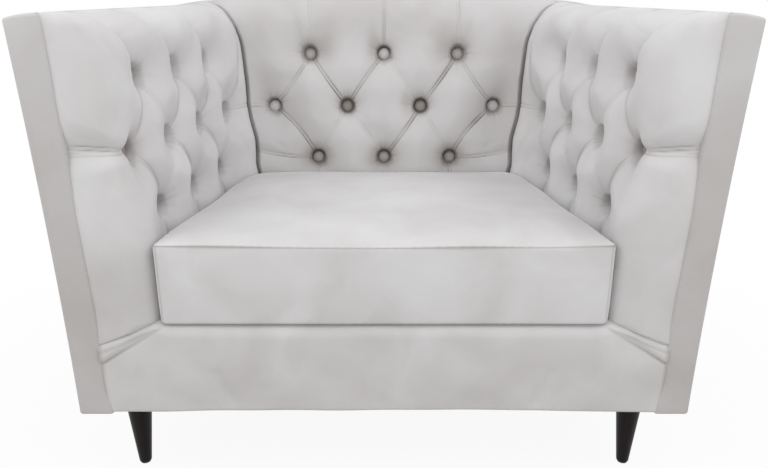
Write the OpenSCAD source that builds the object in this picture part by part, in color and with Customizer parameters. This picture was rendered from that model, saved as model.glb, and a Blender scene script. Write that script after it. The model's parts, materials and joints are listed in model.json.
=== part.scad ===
// Chesterfield armchair with flared, deep-buttoned arms, a deep-buttoned back and a loose box cushion.
// Millimetres. Seen from the front, +X is to the right, +Y runs to the back and +Z is up.
// The origin is on the floor under the middle of the overall box.

/* [Overall] */
// Width over the arm tops at the front
overall_w = 1120; // [1060:5:1240]
// Depth from the arm fronts to the rear of the back
overall_d = 750; // [730:5:820]
// Height of the arms above the floor
arm_h = 805; // [795:5:830]
// Height of the back above the floor
back_h = 850; // [845:5:900]

/* [Flare] */
// Outward lean of the arm panels, in degrees
arm_lean = 2.6; // [1:0.1:5]
// Angle in plan by which the arms open to the front, in degrees
arm_splay = 9; // [6:0.5:10]
// Recline of the back, in degrees
back_recline = 9; // [6:0.5:11]

/* [Panels] */
// Width of an arm panel's front face
arm_panel_w = 54; // [48:1:70]
// Thickness of the back panel behind its pad
back_panel_t = 64; // [56:1:80]
// Distance of the raised back's sides inside the arm panels
back_step = 36; // [34:1:50]
// Wadding and velvet over the panels
cover_t = 8; // [4:1:10]
// Thin board that closes a panel
board_t = 3; // [2:0.5:5]
// Drop of an arm's top from its inner to its outer edge
arm_top_fall = 8; // [4:1:12]

/* [Frame] */
// Height of the base rails
rail_h = 90; // [80:1:92]
// Thickness of the base rails
rail_t = 25; // [20:1:30]
// Width of the posts and upper rails of the panels
post_w = 48; // [40:1:60]
// Length of a corner block's sides
corner_block_w = 88; // [80:1:100]
// Height of a corner block
corner_block_h = 60; // [50:1:70]
// Thickness of the webbing
strap_t = 2; // [1.5:0.1:2.2]
// Width of the webbing
strap_w = 60; // [40:1:70]
// Distance between straps of webbing
strap_pitch = 108; // [80:1:112]

/* [Legs] */
// Height of the body's underside above the floor
underside_h = 140; // [130:5:142]
// Diameter of a leg at its top
leg_top_d = 48; // [40:1:52]
// Diameter of a leg at its foot
leg_foot_d = 22; // [18:1:30]
// Distance of a front leg's axis behind the arm fronts
leg_front_set = 57; // [56:1:66]
// Distance of a rear leg's axis in front of the rear rail's back
leg_rear_set = 40; // [36:1:50]
// Distance of a leg's axis inside the arm panel
leg_side_set = 22; // [21:1:30]
// Diameter of the bolt that holds a leg
bolt_d = 8; // [6:1:8]
// Depth of a bolt in its leg
bolt_depth = 38; // [25:1:60]
// Thickness of the glide under a leg
glide_t = 4; // [3:1:6]

/* [Padding] */
// Thickness of the buttoned pads at their crest
pad_t = 108; // [100:1:115]
// Depth of a buttoned pit in an arm pad below the crest
arm_button_sink = 46; // [38:1:52]
// Depth of a pleat in an arm pad below the crest
arm_pleat_sink = 24; // [10:1:30]
// Depth of a buttoned pit in the back pad below the crest
back_button_sink = 34; // [26:1:44]
// Depth of a pleat in the back pad below the crest
back_pleat_sink = 12; // [6:1:18]
// Diameter of a covered button
button_d = 25; // [20:1:28]
// Height of a covered button
button_h = 9; // [6:0.5:12]
// Thickness of the foam slab inside a pad
foam_t = 34; // [20:1:36]
// Radius of an arm pad's front edge
front_roll = 40; // [25:1:50]
// Height of the roll at the top of an arm pad
arm_roll = 92; // [70:1:96]
// Height of the roll at the top of the back pad
back_roll = 100; // [80:1:120]

/* [Tufting] */
// Height of the middle row of buttons
middle_row_h = 590; // [585:1:595]
// Height between rows of buttons
row_pitch = 114; // [105:1:116]
// Distance between buttons along an arm
arm_pitch = 140; // [134:1:153]
// Distance of the first button behind the arm front
arm_first_button = 55; // [52:1:84]
// Distance between buttons across the back
back_pitch = 165; // [155:1:168]

/* [Seat] */
// Height of the seat deck that the cushion lies on
deck_h = 306; // [300:1:316]
// Thickness of the cushion at its seams
cushion_t = 138; // [120:1:145]
// Rise of the cushion's crown above its top seam
cushion_crown = 17; // [8:1:24]
// Distance by which the cushion's sides draw in at the seams
seam_draw = 11; // [5:1:14]
// Height at which the pads start beside their panels
pad_foot_h = 236; // [235:1:245]
// Thickness of the padded front border
border_t = 12; // [8:1:16]
// Distance of the front border behind the arm fronts
border_set = 8; // [6:1:14]
// Rise of the border's lower edge at its middle
border_arch = 8; // [4:1:12]

/* [Hidden] */
$fn = 48;
// Clearance between soft pieces
soft_gap = 0.4;
// Clearance of a bolt in its bore
bolt_gap = 0.1;
// Layer of glue on each face of a thin board
glue_gap = 0.05;
// Length by which a cutting shape passes the surface it cuts
overrun = 1;
// Thickness of the dust cover under the frame
underside_t = 1.5;
frame_foot_h = underside_h + underside_t;
rail_top_h = frame_foot_h + rail_h;
block_top_h = frame_foot_h + corner_block_h;
seat_top_h = deck_h + cushion_t;
panel_top_h = arm_h - arm_top_fall - cover_t;
panel_core_w = arm_panel_w - cover_t - board_t;
front_rail_y = border_set + border_t;
front_block_y = front_rail_y + rail_t;

// Planes of the body on its right side. y counts from the arm fronts backwards
inner_top_x = overall_w / 2 - arm_panel_w + arm_top_fall * tan(arm_lean);
function arm_x(y, z) = inner_top_x - (arm_h - z) * tan(arm_lean) - y * tan(arm_splay);
function back_y(z) = overall_d - back_panel_t - (back_h - z) * tan(back_recline);
function mix(a, b, t) = a + (b - a) * t;

// A depth is a distance behind the arm fronts, or in a list one behind the face of the back panel
function place_y(depth, z) = is_list(depth) ? back_y(z) + depth[0] : depth;
back_core_t = back_panel_t - cover_t - board_t;
rear_rail_end = back_y(frame_foot_h) + back_core_t;
rear_rail_y = rear_rail_end - rail_t;
rear_block_y = rear_rail_end - corner_block_w;
back_side = back_step + cover_t;
post_side = back_side + post_w;

velvet = "#d3d1d1";
timber = "#c9a878";
hardboard = "#8a6a48";
foam_colour = "#efe3b8";
webbing_colour = "#3b3b40";
hessian_colour = "#b79a6a";
steel = "#9a9ca0";
wenge = "#241c1c";

// Solid between rings of points. Each ring runs anticlockwise as seen from the last one.
// Two poles, where given, are the middles of the fans that close the first and the last ring
module loft(rings, poles = []) {
    n = len(rings[0]);
    last = (len(rings) - 1) * n;
    first_pole = len(rings) * n;
    walls = [for (i = [0 : len(rings) - 2]) for (k = [0 : n - 1])
        let (a = i * n + k, b = i * n + (k + 1) % n) each [[a, a + n, b + n], [a, b + n, b]]];
    fans = [for (k = [0 : n - 1])
        let (m = (k + 1) % n) each [[k, m, first_pole], [last + m, last + k, first_pole + 1]]];
    caps = [[for (k = [0 : n - 1]) k], [for (k = [n - 1 : -1 : 0]) last + k]];
    polyhedron(points = concat([for (r = rings) each r], poles),
        faces = concat(walls, len(poles) == 2 ? fans : caps));
}

// Block along the right arm. x is a pair of distances outside the arm panel's inner face, y a pair of depths
// and z a pair of heights. The outer top edge is lower by fall
module arm_block(x, y, z, fall = 0) {
    function corner(side, end, h) = let (d = place_y(y[end], h)) [arm_x(d, h) + x[side], d, h];
    function ring(h, drop) = [corner(0, 0, h), corner(1, 0, h - drop), corner(1, 1, h - drop), corner(0, 1, h)];
    loft([ring(z[0], 0), ring(z[1], fall)]);
}

// Block across the chair. Its ends lie inside the arm panels' inner faces by inset
module cross_block(inset, y, z) {
    function ring(h) = [for (s = [[-1, 0], [1, 0], [1, 1], [-1, 1]])
        let (d = place_y(y[s[1]], h)) [s[0] * (arm_x(d, h) - inset), d, h]];
    loft([ring(z[0]), ring(z[1])]);
}

// Strip between two values of x, leaning with the back
module back_strip(x, y, z) {
    function ring(h) = [for (s = [[0, 0], [1, 0], [1, 1], [0, 1]]) [x[s[0]], place_y(y[s[1]], h), h]];
    loft([ring(z[0]), ring(z[1])]);
}

// Moves a piece from the arm fronts to the origin, and mirrors it to the left side
module centred() {
    translate([0, -overall_d / 2, 0]) children();
}
module on_side(side) {
    centred() mirror([side == "left" ? 1 : 0, 0, 0]) children();
}

// Base frame

module front_rail() {
    color(timber) centred() cross_block(0, [front_rail_y, front_block_y], [frame_foot_h, rail_top_h]);
}
module rear_rail() {
    color(timber) centred() cross_block(post_side, [rear_rail_y, rear_rail_end], [frame_foot_h, rail_top_h]);
}
module side_rail(side) {
    color(timber) on_side(side) arm_block([-rail_t, 0], [front_block_y + corner_block_w, rear_block_y],
        [frame_foot_h, rail_top_h + strap_t]);
}

// Thread insert in a corner block
nut_d = bolt_d + 3;
nut_flange_d = nut_d + 11;
nut_flange_t = 1.6;
nut_h = 24;

// Axis of a right-hand leg. The end is 0 at the front and 1 at the rear
function leg_y(end) = end == 0 ? leg_front_set : rear_rail_end - leg_rear_set;
function leg_x(end) = arm_x(leg_y(end), frame_foot_h) - leg_side_set;
module at_leg(end, z) {
    translate([leg_x(end), leg_y(end), z]) children();
}
module at_all_legs(z) {
    for (side = ["left", "right"]) for (end = [0, 1]) on_side(side) at_leg(end, z) children();
}
module corner_block(side, end) {
    near = end == 0 ? front_block_y : rear_block_y;
    far = near + corner_block_w;
    width = end == 0 ? corner_block_w : post_side;
    cut = corner_block_w / 3;
    outer = [arm_x(near, frame_foot_h), arm_x(far, frame_foot_h)];
    inner = [arm_x(near, block_top_h) - width, arm_x(far, block_top_h) - width];
    inner_edge = end == 0
        ? [[outer[1] - cut, far], [inner[0], near + cut], [inner[0], near]]
        : [[inner[1], far], [inner[1] + cut * tan(arm_splay), far - cut], [outer[0] - cut, near]];
    outline = concat([[outer[0], near], [outer[1], far]], inner_edge);
    color(timber) on_side(side) difference() {
        translate([0, 0, frame_foot_h]) linear_extrude(corner_block_h) polygon(outline);
        at_leg(end, frame_foot_h - overrun)
            cylinder(d = nut_d + 2 * bolt_gap, h = corner_block_h + 2 * overrun);
    }
}

// Legs and their fixings

module leg(side, end) {
    color(wenge) on_side(side) difference() {
        at_leg(end, glide_t) cylinder(d1 = leg_foot_d, d2 = leg_top_d, h = frame_foot_h - glide_t);
        at_leg(end, frame_foot_h - bolt_depth) cylinder(d = bolt_d + 2 * bolt_gap, h = bolt_depth + overrun);
    }
}
module leg_glides() {
    glide_d = leg_foot_d - 2;
    color("#3a3a3c") at_all_legs(0) cylinder(d1 = glide_d - 2, d2 = glide_d, h = glide_t);
}
module leg_bolts() {
    color(steel) at_all_legs(frame_foot_h - bolt_depth) cylinder(d = bolt_d, h = bolt_depth + corner_block_h);
}
module leg_t_nuts() {
    color(steel) at_all_legs(block_top_h - nut_h) difference() {
        union() {
            cylinder(d = nut_d, h = nut_h);
            translate([0, 0, nut_h]) cylinder(d = nut_flange_d, h = nut_flange_t);
        }
        translate([0, 0, -overrun]) cylinder(d = bolt_d + 2 * bolt_gap, h = nut_h + nut_flange_t + 2 * overrun);
    }
}

// Arm panels

module arm_front_post(side) {
    color(timber) on_side(side) arm_block([board_t, panel_core_w], [cover_t, cover_t + post_w],
        [frame_foot_h, panel_top_h]);
}
module arm_rear_post(side) {
    color(timber) on_side(side) arm_block([board_t, panel_core_w],
        [[back_panel_t - cover_t - post_w], [back_panel_t - cover_t]], [frame_foot_h, panel_top_h]);
}
module arm_rail(side, z) {
    color(timber) on_side(side) arm_block([board_t, panel_core_w],
        [cover_t + post_w, [back_panel_t - cover_t - post_w]], z);
}
module arm_top_rail(side) {
    arm_rail(side, [panel_top_h - post_w, panel_top_h]);
}
module arm_base_rail(side) {
    arm_rail(side, [frame_foot_h, rail_top_h]);
}
module arm_board(side, x) {
    color(hardboard) on_side(side) arm_block([x + glue_gap, x + board_t - glue_gap],
        [cover_t + glue_gap, [back_panel_t - cover_t - glue_gap]], [frame_foot_h, panel_top_h - glue_gap]);
}
module arm_outside_cover(side) {
    color(velvet) on_side(side) difference() {
        arm_block([0, arm_panel_w], [0, [back_panel_t - cover_t]], [underside_h, arm_h], arm_top_fall);
        arm_block([-overrun, arm_panel_w - cover_t], [cover_t, [back_panel_t]],
            [underside_h - overrun, panel_top_h]);
    }
}

// Back panel

module back_post(side) {
    color(timber) on_side(side) arm_block([-post_side, -back_side], [[strap_t], [back_core_t]],
        [block_top_h, back_h - cover_t]);
}
module back_rail(z) {
    color(timber) centred() cross_block(post_side, [[2 * strap_t], [back_core_t]], z);
}
module back_top_rail() {
    back_rail([back_h - cover_t - post_w, back_h - cover_t]);
}
module back_base_rail() {
    back_rail([rail_top_h + strap_t, rail_top_h + strap_t + post_w]);
}

// Middles of the straps that fit between two places, and half the width between the back's posts
function strap_places(start, end) =
    let (last = floor((end - start - strap_w) / strap_pitch), middle = (start + end) / 2)
    [for (k = [0 : last]) middle + (k - last / 2) * strap_pitch];
function post_gap(y, z) = arm_x(y, z) - post_side;
module back_webbing_upright() {
    reach = post_gap(back_y(rail_top_h), rail_top_h);
    color(webbing_colour) centred() for (x = strap_places(-reach, reach))
        back_strip([x - strap_w / 2, x + strap_w / 2], [[strap_t], [2 * strap_t]],
            [rail_top_h + strap_t, back_h - cover_t]);
}
module back_webbing_across() {
    color(webbing_colour) centred() for (z = strap_places(rail_top_h + post_w, back_h - cover_t))
        cross_block(back_side, [[0], [strap_t]], [z - strap_w / 2, z + strap_w / 2]);
}
module outside_back_board() {
    color(hardboard) centred() cross_block(back_side + glue_gap,
        [[back_core_t + glue_gap], [back_panel_t - cover_t - glue_gap]],
        [frame_foot_h, back_h - cover_t - glue_gap]);
}
module outside_back_cover() {
    color(velvet) centred() difference() {
        union() {
            cross_block(-arm_panel_w, [[back_panel_t - cover_t], [back_panel_t]],
                [underside_h, arm_h - arm_top_fall]);
            cross_block(0, [[0], [back_panel_t]], [rail_top_h + strap_t, arm_h]);
            cross_block(back_step, [[0], [back_panel_t]], [rail_top_h + strap_t, back_h]);
        }
        cross_block(back_side, [[-overrun], [back_panel_t - cover_t]], [underside_h, back_h - cover_t]);
    }
}

// Buttons and the pleats between them. A place is a distance along the pad and a height

function arm_button(k, row) =
    [arm_first_button + (k + abs(row) / 2) * arm_pitch, middle_row_h + row * row_pitch];

// An arm's middle row has as many buttons as fit before the back, and the other rows have one less
arm_row_end = back_y(middle_row_h) - pad_t + arm_button_sink;
last_button = floor((arm_row_end - arm_first_button) / arm_pitch);
arm_button_places = concat([for (k = [0 : last_button]) arm_button(k, 0)],
    [for (row = [-1, 1]) for (k = [0 : last_button - 1]) arm_button(k, row)]);
arm_pleats = concat(
    [for (row = [-1, 1]) for (k = [0 : last_button - 1]) for (n = [0, 1])
        [arm_button(k, row), arm_button(k + n, 0)]],
    [for (k = [0 : last_button - 1]) [arm_button(k, 1), [arm_button(k, 1)[0], arm_h]]],
    [for (k = [0 : last_button - 1]) [arm_button(k, -1), [arm_button(k, -1)[0], deck_h]]],
    [[[0, middle_row_h], arm_button(0, 0)], [arm_button(last_button, 0), [overall_d, middle_row_h]]]
);

// The lowest row of the back stands a little closer
low_row_share = 0.91;
function back_button(k, row) = row == 0 ? [(k - 0.5) * back_pitch, middle_row_h]
    : [k * back_pitch * (row < 0 ? low_row_share : 1), middle_row_h + row * row_pitch];
back_button_places = concat([for (k = [-1 : 2]) back_button(k, 0)],
    [for (row = [-1, 1]) for (k = [-1 : 1]) back_button(k, row)]);
back_pleats = concat(
    [for (row = [-1, 1]) for (k = [-1 : 1]) for (n = [0, 1]) [back_button(k, row), back_button(k + n, 0)]],
    [for (k = [-1 : 1]) [back_button(k, 1), [back_button(k, 1)[0], back_h]]],
    [for (k = [-1 : 1]) [back_button(k, -1), [back_button(k, -1)[0], deck_h]]],
    [for (s = [-1, 1]) [[s * 1.5 * back_pitch, middle_row_h], [s * overall_w / 2, middle_row_h]]]
);

// Width over which a pleat's trough and a button's pit die away
pleat_w = 0.65 * button_d;
pit_w = 1.05 * button_d;
function line_distance(p, a, b) =
    norm(p - a - (b - a) * max(0, min(1, ((p - a) * (b - a)) / ((b - a) * (b - a)))));
function tuft_depth(p, buttons, pleats, pit_sink, fold_sink) =
    let (
        fold = fold_sink * max([for (s = pleats) exp(-line_distance(p, s[0], s[1]) / pleat_w)]),
        pit = max([for (b = buttons) exp(-pow(norm(p - b) / pit_w, 2))])
    ) fold + (pit_sink - fold) * pit;

// Pads. Their crest is upright beside the cushion, and above it keeps its distance from the panel
pad_lip = 6;
corner_roll_w = 40;
corner_fall = 26;
// Squareness of the rolled tops, where 2 is round
roll_power = 3;
function arm_crest(z) = pad_t - max(0, seat_top_h - z) * tan(arm_lean);
function back_crest(z) = pad_t - max(0, seat_top_h - z) * tan(back_recline);
function quarter(t) = sqrt(max(0, 1 - t * t));
function top_share(z, top, roll) =
    pow(max(0, 1 - pow(max(0, z - (top - roll)) / roll, roll_power)), 1 / roll_power);
function corner_drop(left) = corner_fall * (1 - quarter(max(0, corner_roll_w - left) / corner_roll_w));
function mitre_y(z, u) = back_y(z) - u - soft_gap;
function mitre_x(z, v) = arm_x(back_y(z) - v, z) - max(v, back_step) - soft_gap;

// Depth of the right arm pad at a place, and of the back pad. The last value is what is left to the corner
function arm_depth(y, z, left) =
    let (
        front = front_roll * (1 - quarter(max(0, front_roll - y) / front_roll)),
        top = top_share(z, arm_h, arm_roll),
        tuft = tuft_depth([y, z], arm_button_places, arm_pleats, arm_button_sink, arm_pleat_sink),
        full = arm_crest(z) - front - corner_drop(left) - tuft
    ) mix(pad_lip, full, top);
function back_depth(x, z, left) =
    let (
        top = top_share(z, back_h, back_roll),
        tuft = tuft_depth([x, z], back_button_places, back_pleats, back_button_sink, back_pleat_sink),
        full = back_crest(z) - corner_drop(left) - tuft
    ) mix(pad_lip, full, top);

// Rows of a pad from the deck to the top, closer together over the roll
low_rows = 7;
mid_rows = 12;
roll_rows = 8;
function pad_rows(top) = let (low = middle_row_h - row_pitch, high = middle_row_h + row_pitch) concat(
    [for (i = [0 : low_rows - 1]) mix(deck_h, low, i / low_rows)],
    [for (i = [0 : mid_rows - 1]) mix(low, high, i / mid_rows)],
    [for (i = [0 : roll_rows]) mix(high, top, pow(sin(90 * i / roll_rows), 2 / roll_power))]
);

// Columns of the arm pad, then those that lead to the corner, given as shares of the way there
cells_per_pitch = 8;
corner_shares = [0.25, 0.5, 0.75, 1];
arm_rows = pad_rows(arm_h);
arm_columns = concat(
    [for (a = [0 : 30 : 60]) front_roll * (1 - cos(a))],
    [front_roll, (front_roll + arm_first_button) / 2],
    [for (i = [0 : (last_button - 1 / 2) * cells_per_pitch])
        arm_first_button + i * arm_pitch / cells_per_pitch]
);
last_column = arm_columns[len(arm_columns) - 1];
function arm_point(y, z, u) = [arm_x(y, z) - u, y, z];
function arm_corner_point(z, share) =
    let (
        left = (1 - share) * (mitre_y(z, arm_crest(z)) - last_column),
        guess = min(arm_depth(last_column, z, left), arm_crest(z) - corner_drop(left)),
        u = arm_depth(mix(last_column, mitre_y(z, guess), share), z, left)
    ) arm_point(mix(last_column, mitre_y(z, u), share), z, u);
arm_rings = concat(
    [for (y = arm_columns) concat(
        [arm_point(y, pad_foot_h, 0)],
        [for (z = arm_rows) arm_point(y, z, arm_depth(y, z, overall_d))],
        [arm_point(y, arm_h, 0)])],
    [for (s = corner_shares) concat(
        [arm_point(mix(last_column, mitre_y(pad_foot_h, 0), s), pad_foot_h, 0)],
        [for (z = arm_rows) arm_corner_point(z, s)],
        [arm_point(mix(last_column, mitre_y(arm_h, 0), s), arm_h, 0)])]
);

back_rows = pad_rows(back_h);
back_columns = [for (i = [0 : 1.5 * cells_per_pitch]) i * back_pitch / cells_per_pitch];
last_x = 1.5 * back_pitch;
function back_point(x, z, v) = [x, back_y(z) - v, z];
function back_corner_point(z, share) =
    let (
        end = mitre_x(z, back_crest(z)),
        left = (1 - share) * (end - last_x),
        v = back_depth(mix(last_x, end, share), z, left)
    ) back_point(mix(last_x, mitre_x(z, v), share), z, v);
function back_ring(x) = concat(
    [back_point(x, pad_foot_h, 0), back_point(x, back_h, 0)],
    [for (i = [len(back_rows) - 1 : -1 : 0]) back_point(x, back_rows[i], back_depth(x, back_rows[i], overall_w))]
);
function back_corner_ring(share) = concat(
    [
        back_point(mix(last_x, mitre_x(pad_foot_h, 0), share), pad_foot_h, 0),
        back_point(mix(last_x, mitre_x(back_h, 0), share), back_h, 0)
    ],
    [for (i = [len(back_rows) - 1 : -1 : 0]) back_corner_point(back_rows[i], share)]
);
back_half = concat([for (x = back_columns) back_ring(x)], [for (s = corner_shares) back_corner_ring(s)]);
back_rings = concat(
    [for (i = [len(back_half) - 1 : -1 : 1]) [for (p = back_half[i]) [-p[0], p[1], p[2]]]],
    back_half
);

// Middles of the back pad's two ends, on the edge beside the raised back
back_pole_h = (deck_h + back_h) / 2;
back_pole = back_point(mitre_x(back_pole_h, back_step), back_pole_h, back_step);
back_poles = [[-back_pole[0], back_pole[1], back_pole[2]], back_pole];

foam_foot_h = deck_h;
foam_wall = 20;
foam_top_drop = 0.8 * arm_roll;
module arm_foam_block(outer) {
    arm_block([-foam_t, outer], [front_roll, [-foam_t - foam_wall]], [foam_foot_h, arm_h - foam_top_drop]);
}
module back_foam_block(rear) {
    cross_block(foam_t + foam_wall, [[-foam_t], [rear]], [foam_foot_h, back_h - foam_top_drop]);
}
module at_arm_button(p) {
    translate([arm_x(p[0], p[1]) - (pad_t - arm_button_sink), p[0], p[1]])
        rotate([0, 90 - arm_lean, 180 + arm_splay]) children();
}
module at_back_button(p) {
    translate([p[0], back_y(p[1]) - (pad_t - back_button_sink), p[1]])
        rotate([90 - back_recline, 0, 0]) children();
}
module covered_button() {
    dome_r = button_d * 0.8;
    rotate_extrude() intersection() {
        translate([0, button_h - dome_r]) circle(r = dome_r);
        square([button_d / 2, button_h]);
    }
}
module button_well() {
    cylinder(d = button_d + 2 * soft_gap, h = pad_t);
}

module arm_foam(side) {
    color(foam_colour) on_side(side) arm_foam_block(-glue_gap);
}
module arm_tufted_cover(side) {
    color(velvet) on_side(side) difference() {
        loft(arm_rings);
        arm_foam_block(overrun);
        for (p = arm_button_places) at_arm_button(p) button_well();
    }
}
module arm_buttons(side) {
    color(velvet) on_side(side) for (p = arm_button_places) at_arm_button(p) covered_button();
}
module back_foam() {
    color(foam_colour) centred() back_foam_block(-glue_gap);
}
module back_tufted_cover() {
    color(velvet) centred() difference() {
        loft(back_rings, back_poles);
        back_foam_block(overrun);
        for (p = back_button_places) at_back_button(p) button_well();
    }
}
module back_buttons() {
    color(velvet) centred() for (p = back_button_places) at_back_button(p) covered_button();
}

// Seat deck

module seat_webbing_lengthwise() {
    reach = post_gap(rear_rail_y, frame_foot_h);
    color(webbing_colour) centred() for (x = strap_places(-reach, reach))
        translate([x - strap_w / 2, front_rail_y, rail_top_h])
            cube([strap_w, rear_rail_end - front_rail_y, strap_t]);
}
module seat_webbing_crosswise() {
    color(webbing_colour) centred() for (y = strap_places(front_block_y + corner_block_w, rear_block_y))
        cross_block(0, [y - strap_w / 2, y + strap_w / 2], [rail_top_h + strap_t, rail_top_h + 2 * strap_t]);
}

// Layer of the deck between the sloping feet of the pads
function foot_share(z) = max(0, z - pad_foot_h) / (deck_h - pad_foot_h);
module deck_layer(z) {
    function rear(h) = back_y(h) - foot_share(h) * back_crest(deck_h) - soft_gap;
    function side(y, h) = arm_x(y, h) - foot_share(h) * arm_crest(deck_h) - soft_gap;
    function ring(h) = [
        [-side(front_rail_y, h), front_rail_y, h],
        [side(front_rail_y, h), front_rail_y, h],
        [side(rear(h), h), rear(h), h],
        [-side(rear(h), h), rear(h), h]
    ];
    loft([ring(z[0]), ring(z[1])]);
}
hessian_t = 1.5;
deck_cover_t = 3;
hessian_foot_h = rail_top_h + 2 * strap_t;
module seat_hessian() {
    color(hessian_colour) centred() deck_layer([hessian_foot_h, hessian_foot_h + hessian_t]);
}
module seat_base_foam() {
    color(foam_colour) centred() deck_layer([hessian_foot_h + hessian_t, deck_h - deck_cover_t]);
}
module seat_deck_cover() {
    color(velvet) centred() deck_layer([deck_h - deck_cover_t, deck_h]);
}
module front_border() {
    arch_steps = 16;
    foot_x = arm_x(front_rail_y, underside_h) - soft_gap;
    outline = concat(
        [for (i = [0 : arch_steps]) let (t = 2 * i / arch_steps - 1)
            [t * foot_x, underside_h + border_arch * cos(90 * t)]],
        [for (s = [1, -1]) for (z = s > 0 ? [pad_foot_h, deck_h] : [deck_h, pad_foot_h])
            [s * (arm_x(front_rail_y, z) - foot_share(z) * arm_crest(deck_h) - soft_gap), z]]
    );
    color(velvet) centred() translate([0, front_rail_y, 0]) rotate([90, 0, 0])
        linear_extrude(border_t) polygon(outline);
}
module dust_cover() {
    rear = back_y(underside_h) + back_panel_t - cover_t;
    reach = arm_panel_w - cover_t - board_t;
    outline = [for (s = [[-1, front_rail_y], [1, front_rail_y], [1, rear], [-1, rear]])
        [s[0] * (arm_x(s[1], underside_h) + reach), s[1]]];
    color("#26262a") difference() {
        centred() translate([0, 0, underside_h]) linear_extrude(underside_t) polygon(outline);
        at_all_legs(underside_h - overrun)
            cylinder(d = leg_top_d + 2 * soft_gap, h = underside_t + 2 * overrun);
    }
}

// Loose cushion

front_corner_r = 26;
rear_corner_r = 60;
cushion_foot_h = deck_h + soft_gap;
cushion_half_w = arm_x(0, seat_top_h) - pad_t - soft_gap / cos(arm_splay);
cushion_end_y = back_y(seat_top_h) - pad_t - soft_gap;
corner_steps = 6;
edge_steps = 6;

// Outline of the cushion in plan, drawn in by inset
function cushion_outline(inset) =
    let (
        line = cushion_half_w * cos(arm_splay) - inset,
        front_c = [(line - front_corner_r - (inset + front_corner_r) * sin(arm_splay)) / cos(arm_splay),
            inset + front_corner_r],
        rear_at = cushion_end_y - inset - rear_corner_r,
        rear_c = [(line - rear_corner_r - rear_at * sin(arm_splay)) / cos(arm_splay), rear_at],
        front_arc = [for (i = [0 : corner_steps]) let (a = mix(-90, arm_splay, i / corner_steps))
            front_c + front_corner_r * [cos(a), sin(a)]],
        rear_arc = [for (i = [0 : corner_steps]) let (a = mix(arm_splay, 90, i / corner_steps))
            rear_c + rear_corner_r * [cos(a), sin(a)]],
        side = [for (i = [1 : edge_steps - 1]) mix(front_arc[corner_steps], rear_arc[0], i / edge_steps)],
        right = concat([for (i = [0 : edge_steps - 1]) [front_arc[0][0] * i / edge_steps, inset]],
            front_arc, side, rear_arc,
            [for (i = [edge_steps - 1 : -1 : 1]) [rear_arc[corner_steps][0] * i / edge_steps,
                cushion_end_y - inset]]),
        left = [for (i = [len(right) - 1 : -1 : 1]) [-right[i][0], right[i][1]]]
    ) concat(right, [[0, cushion_end_y - inset]], left);
function at_height(outline, h) = [for (p = outline) [p[0], p[1], h]];
cushion_middle = [0, cushion_end_y / 2];
cushion_poles = concat(at_height([cushion_middle], cushion_foot_h),
    at_height([cushion_middle], seat_top_h + cushion_crown));

// Shares of the way from the seam to the middle of the top at which the crown's rings lie
crown_shares = [0.04, 0.1, 0.2, 0.35, 0.55, 0.8];
side_rings = 6;
cushion_rings = concat(
    [for (i = [0 : side_rings]) let (t = 2 * i / side_rings - 1)
        at_height(cushion_outline(seam_draw * t * t), mix(cushion_foot_h, seat_top_h, i / side_rings))],
    [for (s = crown_shares) at_height(
        [for (p = cushion_outline(seam_draw)) mix(p, cushion_middle, s)],
        seat_top_h + cushion_crown * (1 - pow(1 - s, 3)))]
);

// Wadding between the cushion's cover and its foam core
core_inset = 14;
core_rise = 8;
module cushion_core() {
    translate([0, 0, cushion_foot_h + core_rise])
        linear_extrude(cushion_t - 2 * core_rise) polygon(cushion_outline(core_inset));
}

// Zip in a groove of the cushion's rear side. Behind its tape a slit leads in to the foam
zip_w = 400;
groove_h = 18;
groove_depth = 11;
tape_t = 1.5;
chain_h = 5;
chain_t = 1.6;
slider_w = 12;
slider_h = 9;
slider_t = 4;
pull_w = 26;
pull_t = 1.6;
slide_gap = 0.25;
zip_h = cushion_foot_h + cushion_t / 2;
groove_floor_y = cushion_end_y - groove_depth;
slider_rest_x = zip_w / 2 - slider_w;
module cushion_foam() {
    color(foam_colour) centred() cushion_core();
}
module cushion_cover() {
    color(velvet) centred() difference() {
        loft(cushion_rings, cushion_poles);
        cushion_core();
        translate([-zip_w / 2, groove_floor_y, zip_h - groove_h / 2])
            cube([zip_w, groove_depth + overrun, groove_h]);
        translate([groove_h - zip_w / 2, groove_floor_y - core_inset - overrun, zip_h - groove_h / 4])
            cube([zip_w - 2 * groove_h, core_inset + 2 * overrun, groove_h / 2]);
    }
}
module cushion_zip() {
    color("#8d8b8b") centred() {
        translate([-zip_w / 2, groove_floor_y, zip_h - groove_h / 2 + slide_gap])
            cube([zip_w, tape_t, groove_h - 2 * slide_gap]);
        translate([-zip_w / 2, groove_floor_y + tape_t, zip_h - chain_h / 2]) cube([zip_w, chain_t, chain_h]);
    }
}
module zip_slider() {
    body_y = groove_floor_y + tape_t + slide_gap;
    color(steel) centred() difference() {
        union() {
            translate([slider_rest_x - slider_w / 2, body_y, zip_h - slider_h / 2])
                cube([slider_w, slider_t, slider_h]);
            translate([slider_rest_x - pull_w, body_y + slider_t, zip_h - chain_h / 2])
                cube([pull_w, pull_t, chain_h]);
        }
        translate([slider_rest_x - slider_w, groove_floor_y, zip_h - chain_h / 2 - slide_gap])
            cube([2 * slider_w, tape_t + chain_t + slide_gap, chain_h + 2 * slide_gap]);
    }
}

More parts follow.
